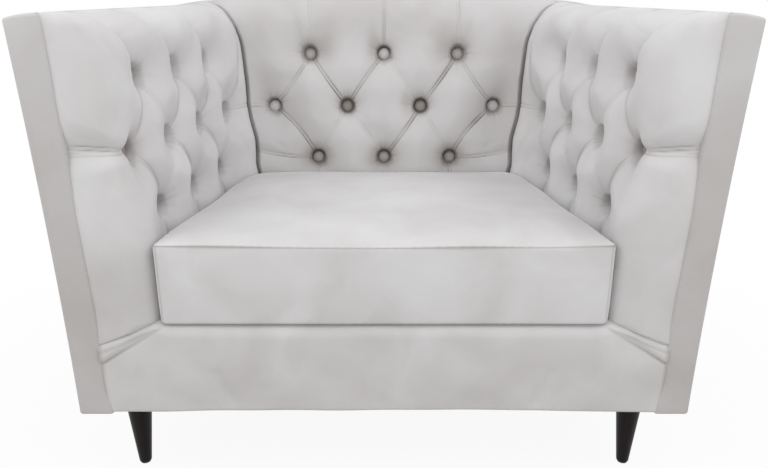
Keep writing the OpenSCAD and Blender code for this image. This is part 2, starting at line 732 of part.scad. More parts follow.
front_rail();
rear_rail();
side_rail("left");  // left_side_rail
side_rail("right");  // right_side_rail
corner_block("left", 0);  // front_left_corner_block
corner_block("right", 0);  // front_right_corner_block
corner_block("left", 1);  // rear_left_corner_block
corner_block("right", 1);  // rear_right_corner_block
arm_front_post("left");  // left_arm_front_post
arm_rear_post("left");  // left_arm_rear_post
arm_top_rail("left");  // left_arm_top_rail
arm_base_rail("left");  // left_arm_base_rail
arm_board("left", 0);  // left_arm_inner_board
arm_board("left", panel_core_w);  // left_arm_outer_board
arm_outside_cover("left");  // left_arm_outside_cover
arm_foam("left");  // left_arm_foam
arm_tufted_cover("left");  // left_arm_tufted_cover
arm_buttons("left");  // left_arm_buttons
arm_front_post("right");  // right_arm_front_post
arm_rear_post("right");  // right_arm_rear_post
arm_top_rail("right");  // right_arm_top_rail
arm_base_rail("right");  // right_arm_base_rail
arm_board("right", 0);  // right_arm_inner_board
arm_board("right", panel_core_w);  // right_arm_outer_board
arm_outside_cover("right");  // right_arm_outside_cover
arm_foam("right");  // right_arm_foam
arm_tufted_cover("right");  // right_arm_tufted_cover
arm_buttons("right");  // right_arm_buttons
back_post("left");  // back_left_post
back_post("right");  // back_right_post
back_top_rail();
back_base_rail();
back_webbing_upright();
back_webbing_across();
outside_back_board();
outside_back_cover();
back_foam();
back_tufted_cover();
back_buttons();
seat_webbing_lengthwise();
seat_webbing_crosswise();
seat_hessian();
seat_base_foam();
seat_deck_cover();
front_border();
dust_cover();
leg("left", 0);  // front_left_leg
leg("right", 0);  // front_right_leg
leg("left", 1);  // rear_left_leg
leg("right", 1);  // rear_right_leg
leg_glides();
leg_bolts();
leg_t_nuts();
cushion_foam();
cushion_cover();
cushion_zip();
zip_slider();
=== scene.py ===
import json
import math

import bpy
import numpy as np
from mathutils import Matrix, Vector


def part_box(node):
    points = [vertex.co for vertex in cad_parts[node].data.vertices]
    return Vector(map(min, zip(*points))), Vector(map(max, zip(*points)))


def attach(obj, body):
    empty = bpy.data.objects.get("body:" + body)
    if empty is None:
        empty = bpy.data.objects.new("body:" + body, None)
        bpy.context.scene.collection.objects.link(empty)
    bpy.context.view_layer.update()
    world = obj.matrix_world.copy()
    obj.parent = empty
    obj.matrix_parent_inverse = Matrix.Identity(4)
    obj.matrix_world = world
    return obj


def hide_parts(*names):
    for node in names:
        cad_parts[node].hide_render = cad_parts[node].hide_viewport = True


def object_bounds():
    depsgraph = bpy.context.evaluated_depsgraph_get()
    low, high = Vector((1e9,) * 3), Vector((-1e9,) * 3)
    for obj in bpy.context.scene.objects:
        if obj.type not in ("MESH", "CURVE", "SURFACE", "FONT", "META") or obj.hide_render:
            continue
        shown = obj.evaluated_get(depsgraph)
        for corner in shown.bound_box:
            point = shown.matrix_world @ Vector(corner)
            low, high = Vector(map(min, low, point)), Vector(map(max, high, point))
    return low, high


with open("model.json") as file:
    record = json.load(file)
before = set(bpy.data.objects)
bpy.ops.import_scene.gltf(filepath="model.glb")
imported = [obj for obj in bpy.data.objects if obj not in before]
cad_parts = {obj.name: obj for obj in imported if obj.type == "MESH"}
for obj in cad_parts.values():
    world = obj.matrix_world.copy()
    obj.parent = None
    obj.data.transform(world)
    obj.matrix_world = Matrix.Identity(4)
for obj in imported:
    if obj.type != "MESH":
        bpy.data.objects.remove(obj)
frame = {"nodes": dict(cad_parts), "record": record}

cad_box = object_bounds()
scene = bpy.context.scene
nodes = frame["nodes"]

# The photographer's set: a camera close in front of the chair, a little above its arms and looking down,
# large soft lamps overhead, in front and at both sides, and a white floor that runs into a white backdrop.
camera_place = (0, -1.495, 0.838)
camera_tilt = math.radians(71.6)
camera_lens = 34.6
film_width = 36
camera = bpy.data.objects.new("camera", bpy.data.cameras.new("camera"))
camera.data.lens = camera_lens
camera.data.sensor_width = film_width
camera.location = camera_place
camera.rotation_euler = (camera_tilt, 0, 0)
scene.collection.objects.link(camera)
scene.camera = camera
scene.view_settings.view_transform = "Standard"


def softbox(name, place, target, size, power):
    """A square area lamp that shines from one place at another."""
    lamp = bpy.data.lights.new(name, "AREA")
    lamp.size = size
    lamp.energy = power
    holder = bpy.data.objects.new(name, lamp)
    holder.location = place
    aim = np.subtract(target, place)
    flat = math.hypot(aim[0], aim[1])
    holder.rotation_euler = (math.atan2(flat, -aim[2]), 0, math.atan2(-aim[0], aim[1]))
    scene.collection.objects.link(holder)


softbox("overhead_softbox", (0, -0.9, 2.6), (0, -0.05, 0.4), 2.2, 7.5)
softbox("front_softbox", (0, -3.4, 1.5), (0, 0, 0.45), 2.0, 6)
softbox("left_softbox", (-1.7, -1.1, 2.1), (0.35, 0.1, 0.6), 1.2, 13)
softbox("right_softbox", (1.7, -1.1, 2.1), (-0.35, 0.1, 0.6), 1.2, 13)


def linear(colour):
    """Linear RGBA of an sRGB hex colour."""
    shares = [int(colour[i:i + 2], 16) / 255 for i in (1, 3, 5)]
    return [s / 12.92 if s <= 0.04045 else ((s + 0.055) / 1.055) ** 2.4 for s in shares] + [1]


def add_node(tree, kind, settings, links=()):
    """A node with its settings and with its sockets' values. A link is (socket, node, output)."""
    node = tree.nodes.new("ShaderNode" + kind)
    for key, value in settings.items():
        if isinstance(key, str) and hasattr(node, key):
            setattr(node, key, value)
        else:
            node.inputs[key].default_value = value
    for socket, source, output in links:
        tree.links.new(source.outputs[output], node.inputs[socket])
    return node


def new_material(name):
    """An empty material, its node tree and its output."""
    material = bpy.data.materials.new(name)
    material.use_nodes = True
    material.node_tree.nodes.clear()
    output = add_node(material.node_tree, "OutputMaterial", {})
    return material, material.node_tree, output


def seen_ray(tree):
    """The light path's node, and one that gives 1 where the camera or a gloss sees the surface."""
    ray = add_node(tree, "LightPath", {})
    seen = add_node(tree, "Math", {"operation": "MAXIMUM"},
                    [(0, ray, "Is Camera Ray"), (1, ray, "Is Glossy Ray")])
    return ray, seen


# Seen directly or in gloss, the floor is white paper and the world behind it is white. The rest of the light
# that the world gives is dimmer, so the pale velvet doesn't clip.
floor_w = 14
room_light = 0.70
paper, tree, output = new_material("white_background_paper")
_, seen = seen_ray(tree)
coords = add_node(tree, "TexCoord", {})
distance = add_node(tree, "VectorMath", {"operation": "LENGTH"}, [(0, coords, "Object")])
far = add_node(tree, "MapRange", {"From Min": 0.45, "From Max": 1.3, "To Min": 0.93, "To Max": 1},
               [("Value", distance, "Value")])
glow_share = add_node(tree, "Math", {"operation": "MULTIPLY"}, [(0, seen, 0), (1, far, 0)])
paper_colour = add_node(tree, "BsdfDiffuse", {"Color": linear("#D8D7D5")})
glow = add_node(tree, "Emission", {"Color": (1, 1, 1, 1)})
shader = add_node(tree, "MixShader", {},
                  [("Fac", glow_share, 0), (1, paper_colour, 0), (2, glow, 0)])
tree.links.new(shader.outputs[0], output.inputs["Surface"])
bpy.ops.mesh.primitive_plane_add(size=floor_w)
floor = bpy.context.object
floor.name = "paper_floor"
floor.data.materials.append(paper)

world = bpy.data.worlds.new("white_room")
world.use_nodes = True
scene.world = world
tree = world.node_tree
tree.nodes.clear()
ray, seen = seen_ray(tree)
seen_too = add_node(tree, "Math", {"operation": "MAXIMUM"},
                    [(0, seen, 0), (1, ray, "Is Transmission Ray")])
strength = add_node(tree, "MapRange", {"To Min": room_light, "To Max": 1}, [("Value", seen_too, 0)])
background = add_node(tree, "Background", {"Color": (1, 1, 1, 1)}, [("Strength", strength, 0)])
add_node(tree, "OutputWorld", {}, [("Surface", background, 0)])


# Velvet on every upholstered piece: short-pile cotton velvet, woven and cut. Its pile scatters light at
# grazing angles, it is a little uneven where hands have brushed it, and a painted shade makes it warmer and
# darker in folds, pits and seams.
velvet_light = linear("#DBDADB")
velvet_dark = linear("#CFCDCD")
velvet_fold = linear("#8D857F")
brushed_patch = 0.13
pile_clump = 0.0024
velvet, tree, output = new_material("offwhite_cut_velvet")
coords = add_node(tree, "TexCoord", {})
patches = add_node(tree, "TexNoise", {"Scale": 1 / brushed_patch, "Detail": 4, "Distortion": 0.6},
                   [("Vector", coords, "Object")])
spread = add_node(tree, "MapRange", {"From Min": 0.32, "From Max": 0.68}, [("Value", patches, 0)])
cloth = add_node(tree, "Mix", {"data_type": "RGBA", 6: velvet_dark, 7: velvet_light},
                 [(0, spread, 0)])
# Painted shade: each piece's shade attribute mixes the velvet towards a warm dark tone
fold = add_node(tree, "Attribute", {"attribute_name": "fold"})
shaded = add_node(tree, "Mix", {"data_type": "RGBA", 7: velvet_fold},
                  [(0, fold, "Fac"), (6, cloth, 2)])
pile = add_node(tree, "TexNoise", {"Scale": 1 / pile_clump, "Detail": 3},
                [("Vector", coords, "Object")])
nap = add_node(tree, "Bump", {"Strength": 0.18, "Distance": 0.0006}, [("Height", pile, 0)])
shader = add_node(tree, "BsdfPrincipled", {
    "Roughness": 0.88, "Sheen Weight": 0.22, "Sheen Roughness": 0.42, "Specular IOR Level": 0.25,
}, [("Base Color", shaded, 2), ("Normal", nap, 0)])
tree.links.new(shader.outputs[0], output.inputs["Surface"])


# Outside of each arm: velvet over a layer of wadding, pulled over the panel's outer board, top and front and
# stapled underneath. The wadding rounds the edges and leaves the large faces a little uneven. The arm panels
# lean outwards and open to the front, and the back reclines. A depth counts back from the arms' fronts.
arm_lean = math.tan(math.radians(2.6))
arm_splay = math.tan(math.radians(9))
recline = math.tan(math.radians(9))
arm_top = 0.805
back_top = cad_box[1][2]
body_foot = 0.1335
front_y = cad_box[0][1]
panel_w = 0.054
panel_t = 0.064
panel_fall = 0.008
arm_inner_x = cad_box[1][0] - panel_w + panel_fall * arm_lean
back_face_depth = cad_box[1][1] - cad_box[0][1] - panel_t
wadded_edge = 0.005
panel_cell = 0.012
edge_cell = 0.0015
panel_swell = 0.0022
panel_wave = 0.22
panel_rear_set = 0.008
panel_overlap = 0.0045
panel_waist = 0.005
panel_shade = 0.38
panel_shade_top = 0.20
panel_shade_foot = 0.44
arm_rise = 0.007
arm_rise_start = 0.50
arm_rise_length = 0.18
level_below = 0.6


def arm_face(depth, z):
    """X of the right arm panel's inner face."""
    return arm_inner_x - (arm_top - z) * arm_lean - depth * arm_splay


def back_face(z):
    """Depth of the back panel's front face."""
    return back_face_depth - (back_top - z) * recline


def smooth(t):
    """Ease from 0 to 1."""
    t = np.clip(t, 0, 1)
    return t * t * (3 - 2 * t)


def cloth_mesh(name, points, faces, fold=None):
    """A velvet-covered mesh object with smooth shading and its attribute of painted shade."""
    mesh = bpy.data.meshes.new(name)
    mesh.from_pydata(np.asarray(points).tolist(), [], np.asarray(faces).tolist())
    mesh.update()
    mesh.shade_smooth()
    if fold is not None:
        mesh.attributes.new("fold", "FLOAT", "POINT").data.foreach_set("value", np.asarray(fold, np.float32))
    mesh.materials.append(velvet)
    piece = bpy.data.objects.new(name, mesh)
    scene.collection.objects.link(piece)
    return piece


def upholster(piece, node, body="chair"):
    """Attach a velvet piece to what it rides on, and hide the solid that it stands for."""
    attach(piece, body)
    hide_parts(node)


def graded(length, step, fine, reach):
    """Places from -1 to 1 along a side, closer together near both ends."""
    half = length / 2
    places = [0.0]
    gap = fine
    while places[-1] < reach:
        places.append(places[-1] + gap)
        gap = min(gap * 1.25, step)
    middle = np.linspace(places[-1], half, max(2, round((half - places[-1]) / step)) + 1)[1:]
    left = np.concatenate([places, middle]) / half - 1
    return np.concatenate([left, -left[-2::-1]])


def box_lattice(steps):
    """Points of a box's surface in shares from -1 to 1 along its three sides, and its faces."""
    counts = [len(s) for s in steps]
    index = {}
    points = []
    faces = []

    def corner(place):
        if place not in index:
            index[place] = len(points)
            points.append([steps[axis][place[axis]] for axis in range(3)])
        return index[place]

    for axis in range(3):
        u, v = (axis + 1) % 3, (axis + 2) % 3
        for end in (0, counts[axis] - 1):
            for i in range(counts[u] - 1):
                for k in range(counts[v] - 1):
                    ring = []
                    for a, b in ((i, k), (i + 1, k), (i + 1, k + 1), (i, k + 1)):
                        place = [0, 0, 0]
                        place[axis], place[u], place[v] = end, a, b
                        ring.append(corner(tuple(place)))
                    faces.append(ring if end else ring[::-1])
    return np.array(points), faces


def rounded(shares, size, radius):
    """Shares of a box whose edges and corners are rounded by a radius."""
    half = np.array(size) / 2
    place = shares * half
    core = np.clip(place, radius - half, half - radius)
    out = place - core
    reach = np.linalg.norm(out, axis=1, keepdims=True)
    place = np.where(reach > 0, core + out * radius / np.maximum(reach, 1e-9), place)
    return place / half


def ripple(points, wave, height, seed):
    """Low, irregular swell of a wadded surface."""
    rng = np.random.default_rng(seed)
    total = np.zeros(len(points))
    for _ in range(9):
        direction = rng.normal(size=3)
        direction /= np.linalg.norm(direction)
        turn = rng.uniform(0, 2 * math.pi)
        length = wave * rng.uniform(0.6, 1.6)
        total += np.sin(points @ direction * 2 * math.pi / length + turn)
    return total * height / 3


arm_size = (panel_w, back_face(arm_top) + panel_t, arm_top - body_foot)
lattice, arm_faces = box_lattice([graded(side, panel_cell, edge_cell, wadded_edge) for side in arm_size])
shares = rounded(lattice, arm_size, wadded_edge)
across, along, up = ((shares[:, axis] + 1) / 2 for axis in range(3))
arm_z = body_foot + (arm_top - body_foot) * up
arm_depth = along * (back_face(arm_z) + panel_t - panel_rear_set)
top_drop = panel_fall * across ** 2 - arm_rise * smooth((arm_depth - arm_rise_start) / arm_rise_length)
arm_z = arm_z - top_drop * smooth((arm_z - level_below) / (arm_top - level_below))
arm_points = np.stack([arm_face(arm_depth, arm_z) + panel_w * across, front_y + arm_depth, arm_z], axis=1)
swell = panel_swell + ripple(arm_points, panel_wave, panel_swell / 2, 3)
flatness = [np.clip(1 - np.abs(shares[:, axis]) ** 6, 0, 1) for axis in range(3)]
arm_points[:, 0] += swell * flatness[1] * flatness[2] * (across - 0.5) * 2
arm_points[:, 1] -= swell * flatness[0] * flatness[2] * (along < 0.5)
arm_points[:, 0] -= panel_overlap * (1 - across) * smooth((0.03 - arm_depth) / 0.02)
arm_points[:, 0] -= panel_waist * 4 * up * (1 - up) * across
# Painted shade on the arms' outer covers, darker towards the bottom
panel_painted_shade = panel_shade + (panel_shade_top - panel_shade) * np.clip((arm_z - panel_shade_foot) / (arm_top - panel_shade_foot), 0, 1)
for side, mirror in (("left", -1), ("right", 1)):
    faces = [f[::-1] for f in arm_faces] if mirror < 0 else arm_faces
    cover = cloth_mesh(f"{side}_arm_wadded_cover", arm_points * [mirror, 1, 1], faces, panel_painted_shade)
    upholster(cover, f"{side}_arm_outside_cover")


# Deep-buttoned pads of the arms: velvet over thick wadding and a foam slab, drawn in at each button by twine
# and folded into a pleat from button to button. Between the pleats the wadding stands up in pillows.
pad_t = 0.108
soft_gap = 0.0004
seat_h = 0.444
deck_h = 0.306
pad_foot = 0.236
cell = 0.0022
pit_floor_r = 0.0140
pit_wall_w = 0.006
pit_lower_wall = 1.4
pit_shade_w = 0.005
cone_power = 1.8
trough_floor = 0.002
trough_power = 0.9
trough_shade = 0.06
trough_shade_w = 0.010
blend_power = 4
groove_set = 0.0030
groove_w = 0.0012
groove_depth = 0.0021
groove_shade = 0.62
ridge_w = 0.0020
ridge_height = 0.0015
crease_wave = 0.25
wrinkles_per_button = 18
wrinkle_start = 0.004
wrinkle_reach = (0.010, 0.034)
wrinkle_height = (0.0003, 0.0010)
wrinkle_w = 0.0016
wrinkle_shade = 150
pad_lip = 0.02
pad_uneven = 0.0014
end_cells = 5
over_top_length = 0.06
below_deck = deck_h - 0.05


def line_places(line, s, z):
    """Distance of places from a line of points, and the share of the line's length where each is nearest."""
    line = np.asarray(line, float)
    nearest = np.full(s.shape, 1e9)
    share = np.zeros(s.shape)
    lengths = np.linalg.norm(np.diff(line, axis=0), axis=1)
    starts = np.concatenate([[0], np.cumsum(lengths)])
    for a, b, length, start in zip(line[:-1], line[1:], lengths, starts):
        run = (b - a) / length
        t = np.clip((s - a[0]) * run[0] + (z - a[1]) * run[1], 0, length)
        gap = np.hypot(s - a[0] - t * run[0], z - a[1] - t * run[1])
        closer = gap < nearest
        nearest = np.where(closer, gap, nearest)
        share = np.where(closer, (start + t) / starts[-1], share)
    return nearest, share


def bowed(a, b, bow=0):
    """Line from one place to another that bows sideways by a length."""
    a, b = np.asarray(a, float), np.asarray(b, float)
    run = b - a
    sideways = np.array([run[1], -run[0]]) / np.linalg.norm(run)
    return [a + run * t + sideways * bow * 4 * t * (1 - t) for t in np.linspace(0, 1, 9)]


def bell(gap, w):
    """Bell curve that is 1 at no distance and falls to about a third at a distance of w."""
    return np.exp(-(gap / w) ** 2)


def rounding(t):
    """Drop of a rounded edge at a share of its width."""
    return 1 - np.sqrt(1 - np.clip(t, 0, 1) ** 2)


def quilt(s, z, buttons, pleats, sink, cone, shades, seed):
    """Depth of a buttoned surface below its crest, that of its fine creases, and its share of painted shade.

    A pleat is a line, its trough's depth at the start and at the end, its half width, and the strength of its
    crease at both ends. A cone is the radius over which a pit's slope runs out, and its share of the pit's
    depth. Troughs and cones run together softly where they meet. A button's shades are the shares of painted
    shade above it, below it and around it, with the reach of the last."""
    rng = np.random.default_rng(seed)
    hollow = np.zeros(s.shape)
    crease = np.zeros(s.shape)
    fold = np.zeros(s.shape)
    for line, (deep, shallow), width, (first, last) in pleats:
        gap, share = line_places(line, s, z)
        depth = deep + (shallow - deep) * share
        wave = 1 - crease_wave + crease_wave * np.sin(share * rng.uniform(5, 12) + rng.uniform(0, 6))
        strength = (first + (last - first) * share) * wave
        t = np.clip((np.sqrt(gap ** 2 + trough_floor ** 2) - trough_floor) / width, 0, 1)
        hollow += (depth * (1 - np.sin(math.pi / 2 * t ** trough_power))) ** blend_power
        groove = bell(gap - groove_set, groove_w)
        ridge = bell(gap, ridge_w)
        crease += strength * (groove_depth * groove - ridge_height * ridge)
        # Painted shade in each crease's groove and along its trough
        shade = groove_shade * groove + trough_shade * bell(gap, trough_shade_w)
        fold = np.maximum(fold, strength * shade)
    wells = []
    wrinkle = np.zeros(s.shape)
    for button, (above, below, around, reach_around) in zip(buttons, shades):
        r = np.hypot(s - button[0], z - button[1])
        angle = np.arctan2(z - button[1], s - button[0])
        past = np.maximum(r - pit_floor_r, 0)
        hollow += (cone[1] * sink * np.clip(1 - past / cone[0], 0, 1) ** cone_power) ** blend_power
        wall_w = pit_wall_w * (1 + pit_lower_wall * np.clip(-np.sin(angle), 0, 1))
        wells.append(1 - smooth(past / wall_w))
        for _ in range(wrinkles_per_button):
            turn = rng.uniform(-math.pi, math.pi)
            reach = rng.uniform(*wrinkle_reach)
            height = rng.uniform(*wrinkle_height)
            off = r * np.sin(angle - turn)
            ahead = (np.cos(angle - turn) > 0) * smooth(past / wrinkle_start) * bell(past, reach)
            wrinkle += height * ahead * bell(off, wrinkle_w)
        # Painted shade in the pit, darker above the button, and around the button
        upper = smooth(0.5 + 0.6 * np.sin(angle))
        fold = np.maximum(fold, bell(past, pit_shade_w) * (below + (above - below) * upper))
        fold = np.maximum(fold, around * bell(past, reach_around) * (1 + 0.5 * np.sin(angle)))
    depth = hollow ** (1 / blend_power)
    well = np.max(wells, axis=0)
    depth = depth * (1 - well) + np.maximum(depth, sink) * well
    return depth, crease + wrinkle, np.clip(fold + wrinkle * wrinkle_shade, 0, 1)


def sink_in(base, sunk, thickness, wave, seed, outward):
    """Surface of a pad: its base, a little uneven and sunk by a length against its normals.

    One normal is compared with the outward direction, and shows which way they all point."""
    present = np.clip(thickness * 1.3, 0, 1)[:, None]
    uneven = ripple(base.reshape(-1, 3), wave, pad_uneven, seed).reshape(sunk.shape)
    normal = np.cross(np.gradient(base, axis=0), np.gradient(base, axis=1))
    normal /= np.maximum(np.linalg.norm(normal, axis=2, keepdims=True), 1e-12)
    side = np.sign(normal[60, 150] @ outward)
    return base - normal * ((sunk + uneven) * present)[:, :, None] * side


def tuck_in(column, x, y):
    """Columns that lead from a pad's last column down between the pads, to an x and a y."""
    t = np.arange(1, end_cells + 1)[None, :, None] / end_cells
    goal = np.stack([x, y, column[:, 2]], axis=1)
    return column[:, None, :] + (goal - column)[:, None, :] * t


def grid_faces(rows, columns):
    """Quads of a grid of points."""
    index = np.arange(rows * columns).reshape(rows, columns)
    quads = np.stack([index[:-1, :-1], index[1:, :-1], index[1:, 1:], index[:-1, 1:]], axis=-1)
    return quads.reshape(-1, 4)


def squircle(t):
    """Height of a squarish quarter round at a share of its width."""
    return (1 - np.clip(t, 0, 1) ** 3) ** (1 / 3)


def profile(top, roll):
    """Rows of a pad from its foot over the crest to its top: heights and shares of the full thickness."""
    foot_rows = round((deck_h - pad_foot) * 1.5 / cell)
    wall_rows = round((top - roll - deck_h) / cell)
    roll_rows = round(roll * 1.5 / cell)
    t = np.linspace(0, 1, foot_rows, endpoint=False)
    z = [pad_foot + (deck_h - pad_foot) * t, np.linspace(deck_h, top - roll, wall_rows, endpoint=False)]
    share = [t, np.ones(wall_rows)]
    angle = np.linspace(0, math.pi / 2, roll_rows + 1)
    round_z = np.sin(angle) ** (2 / 3)
    round_share = np.cos(angle) ** (2 / 3)
    z.append(top - roll + roll * round_z)
    share.append(np.maximum(round_share, pad_lip))
    return np.concatenate(z), np.concatenate(share)


button_first = 0.055
button_pitch = 0.140
button_row_z = 0.590
row_pitch = 0.114
row_lean = 0.008
arm_sink = 0.054
arm_cone = (0.100, 0.66)
arm_roll = 0.092
arm_wave = 0.12
front_roll = 0.040
front_lean = 0.026
front_lean_length = 0.12
seam_w = 0.016
seam_depth = 0.006
seam_shade, seam_shade_w = 0.22, 0.006
face_swell = 0.004
gusset_start, gusset_w = 0.372, 0.103
gusset_foot = 0.268
gusset_power = 1.15
gusset_tuck = 0.016
pleat_w = 0.062
top_pleat_w = 0.075
top_pleat_lean = 0.048
low_painted_shade = 0.19
low_shade_top, low_shade_fade = 0.50, 0.14
side_l = 0.5
end_round = 0.024
end_roundness = 0.75
end_drop = 0.006
end_press = 0.004
end_roll_length = 0.090
end_swell = ((0.44, 0.505, 0.58, 0.61, 0.66, 0.72, 0.75, 0.78, 0.80),
             (0.027, 0.019, 0.012, 0.007, -0.005, -0.005, -0.006, -0.003, 0))
end_swell_length = 0.085
end_swell_start = 0.05


def arm_button(k, row):
    """Place of an arm button as a depth and a height. Higher rows stand a little further forward."""
    return (button_first + (k + abs(row) / 2) * button_pitch - row * row_lean, button_row_z + row * row_pitch)


arm_places = [(k, 0) for k in range(4)] + [(k, row) for row in (-1, 1) for k in range(3)]
arm_buttons = [arm_button(k, row) for k, row in arm_places]

# Each button's shares of painted shade above it, below it, around it and on itself
arm_shades = {
    (0, 0): (1.00, 0.95, 0.36, 0.90), (1, 0): (0.40, 0.30, 0.10, 0.30),
    (2, 0): (0.30, 0.20, 0.06, 0.20), (3, 0): (0.50, 0.40, 0.10, 0.30),
    (0, -1): (0.55, 0.45, 0.12, 0.45), (1, -1): (0.40, 0.35, 0.10, 0.35), (2, -1): (0.75, 0.65, 0.18, 0.55),
    (0, 1): (0.70, 0.50, 0.14, 0.50), (1, 1): (0.25, 0.20, 0.06, 0.20), (2, 1): (0.50, 0.40, 0.08, 0.40),
}
arm_shade_reach = 0.016
arm_pleats = []
for k in range(3):
    low, high = arm_button(k, -1), arm_button(k, 1)
    arm_pleats += [
        (bowed(high, arm_button(k, 0), -0.012), (0.026, 0.026), pleat_w, (1, 0.9)),
        (bowed(high, arm_button(k + 1, 0), 0.006), (0.016, 0.016), pleat_w, (0.25, 0.4)),
        (bowed(low, arm_button(k, 0), 0.012), (0.026, 0.026), pleat_w, (0.7, 0.9)),
        (bowed(low, arm_button(k + 1, 0), -0.006), (0.014, 0.014), pleat_w, (0.2, 0.3)),
        (bowed(high, (high[0] - top_pleat_lean, 0.872), -0.006), (0.038, 0.044), top_pleat_w, (0.9, 0.4)),
        (bowed(low, (low[0], below_deck)), (0.028, 0.028), 0.072, (0.6, 0.5)),
    ]
arm_pleats += [
    (bowed(arm_button(0, 0), (-0.10, 0.604), 0.002), (0.036, 0.004), 0.046, (1, 0.7)),
    (bowed(arm_button(0, 0), (-0.025, 0.598)), (0.050, 0.014), 0.040, (0, 0)),
    (bowed(arm_button(0, 0), (-0.10, 0.590), 0.003), (0.006, 0.006), 0.030, (0.9, 0.4)),
    (bowed(arm_button(3, 0), (0.60, 0.592)), (0.012, 0.002), 0.034, (0.7, 0.6)),
    (bowed(arm_button(3, 0), (0.552, 0.86), 0.026), (0.012, 0.008), 0.040, (0.9, 0.6)),
    (bowed(arm_button(3, 0), (0.560, 0.36), 0.006), (0.008, 0.008), 0.060, (0.2, 0)),
]

z, thickness = profile(arm_top, arm_roll)
crest = pad_t - np.maximum(0, seat_h - z) * arm_lean
face_cells = round((pad_t - front_roll) / cell)
arc_cells = round(front_roll * math.pi / 2 / cell)
side_cells = round(side_l / cell)
u_share = np.linspace(0, 1, face_cells, endpoint=False)
turn = np.linspace(0, math.pi / 2, arc_cells, endpoint=False)
side_share = np.linspace(0, 1, side_cells)
path_u = np.concatenate([
    u_share * (pad_t - front_roll),
    pad_t - front_roll + front_roll * np.sin(turn),
    np.full(side_cells, pad_t),
])
end_depth = back_face(z) - crest * thickness + end_press
path_depth = np.concatenate([
    np.zeros(face_cells),
    front_roll * (1 - np.cos(turn)),
    np.full(side_cells, front_roll),
])
run = np.concatenate([np.zeros(face_cells + arc_cells), side_share])
depth = path_depth[None, :] + run[None, :] * (end_depth - front_roll)[:, None]
top_t = np.clip((z - arm_top + arm_roll) / arm_roll, 0, 1)
lean_back = front_lean * (1 - squircle(top_t))
depth += lean_back[:, None] * (1 - smooth(depth / front_lean_length)) * smooth(path_u / front_roll)[None, :]
u = path_u[None, :] * (crest / pad_t * thickness)[:, None]
z_grid = np.repeat(z[:, None], depth.shape[1], axis=1)
lift = arm_rise * smooth((depth - arm_rise_start) / arm_rise_length)
lift *= smooth((z_grid - level_below) / (arm_top - level_below))
base = np.stack([arm_face(depth, z_grid) - u, front_y + depth, z_grid + lift], axis=2)

# Length along the velvet: the depth on the side, and round the front edge the way that the cloth takes
developed = np.concatenate([
    u_share * (pad_t - front_roll),
    pad_t - front_roll + front_roll * turn,
    np.full(side_cells, pad_t - front_roll + front_roll * math.pi / 2),
])
s = developed[None, :] - developed[-1] + front_roll + run[None, :] * (end_depth - front_roll)[:, None]
over_top = np.where(top_t > 0, (1 - thickness) * over_top_length, 0)
shades = [arm_shades[place][:3] + (arm_shade_reach,) for place in arm_places]
sunk, creases, fold = quilt(
    s, z_grid + over_top[:, None], arm_buttons, arm_pleats, arm_sink, arm_cone, shades, 11)

# The face swells a little between its seam with the panel and its edge, and dips to the seam
seam = rounding(1 - developed / seam_w)
swell = -face_swell * np.sin(math.pi * np.clip(developed / developed[-1], 0, 1))
sunk += (seam_depth * seam + swell)[None, :]

# Beside the front border the face is tucked in behind the border's gusset
gusset_t = np.clip((np.abs(base[:, :, 0]) - gusset_start) / gusset_w, 0, 1)
gusset_z = deck_h - (deck_h - gusset_foot) * gusset_t ** gusset_power
tucked = smooth((gusset_z + 0.004 - z_grid) / 0.010) * (developed < developed[-1])[None, :]
sunk += gusset_tuck * tucked
# Painted shade where the face is tucked in behind the gusset
fold = np.maximum(fold, 0.6 * tucked)

# The far end rounds off into the valley beside the back
to_end = end_depth[:, None] - depth
rounder = (thickness - np.sqrt(1 - top_t ** 2)) * (top_t > 0) * crest
sunk += end_roundness * np.maximum(rounder, 0)[:, None] * smooth(1 - to_end / end_roll_length)
corner_pad = np.interp(z_grid, *end_swell) * np.clip(1 - to_end / end_swell_length, 0, 1) ** 2
sunk -= corner_pad * np.clip((u - end_swell_start) / end_swell_start, 0, 1)
# Painted shade along the seam with the panel, low on the pad near its front, and towards the far end
fold = np.maximum(fold, seam_shade * bell(developed, seam_shade_w)[None, :])
low = smooth((low_shade_top - z_grid) / low_shade_fade)
fold = np.maximum(fold, low_painted_shade * low * (1 - run[None, :]) ** 12)
near_end = np.clip(1 - to_end / end_round, 0, 1)
sunk += end_drop * rounding(near_end)
fold = np.maximum(fold, 0.5 * near_end ** 6)
arm_surface = sink_in(base, sunk + creases, thickness, arm_wave, 51, (-1, 0, 0))

# Behind the last column the velvet is tucked down between the pads to the panel
seam_tuck = arm_surface[:, :1] + (0.006, 0.012, -0.002)
end_tuck = tuck_in(arm_surface[:, -1], arm_face(back_face(z), z), front_y + back_face(z) - soft_gap)
surface = np.concatenate([seam_tuck, arm_surface, end_tuck], axis=1)
fold = np.concatenate([fold[:, :1], fold, np.repeat(fold[:, -1:], end_cells, axis=1)], axis=1)
arm_quads = grid_faces(*fold.shape)
for side, mirror in (("left", -1), ("right", 1)):
    quads = arm_quads if mirror < 0 else arm_quads[:, ::-1]
    pad = cloth_mesh(f"{side}_arm_buttoned_pad", surface.reshape(-1, 3) * [mirror, 1, 1], quads, fold.ravel())
    upholster(pad, f"{side}_arm_tufted_cover")


# Deep-buttoned pad of the back, made as the arms' pads but flatter, with a button in each shallow pit.
back_pitch = 0.165
back_sink = 0.036
back_cone = (0.085, 0.50)
back_base_shade = 0.18
back_step = 0.036
end_behind = 0.050
valley_sink = 0.012
back_roll = 0.100
back_wave = 0.14
back_pleat = (0.009, 0.009)
back_pleat_w = 0.060
long_pleat = (0.008, 0.008)
low_row_share = 0.91
back_half_w = 0.36
back_end_depth = 0.007
valley_x = 0.33
valley_w = 0.010


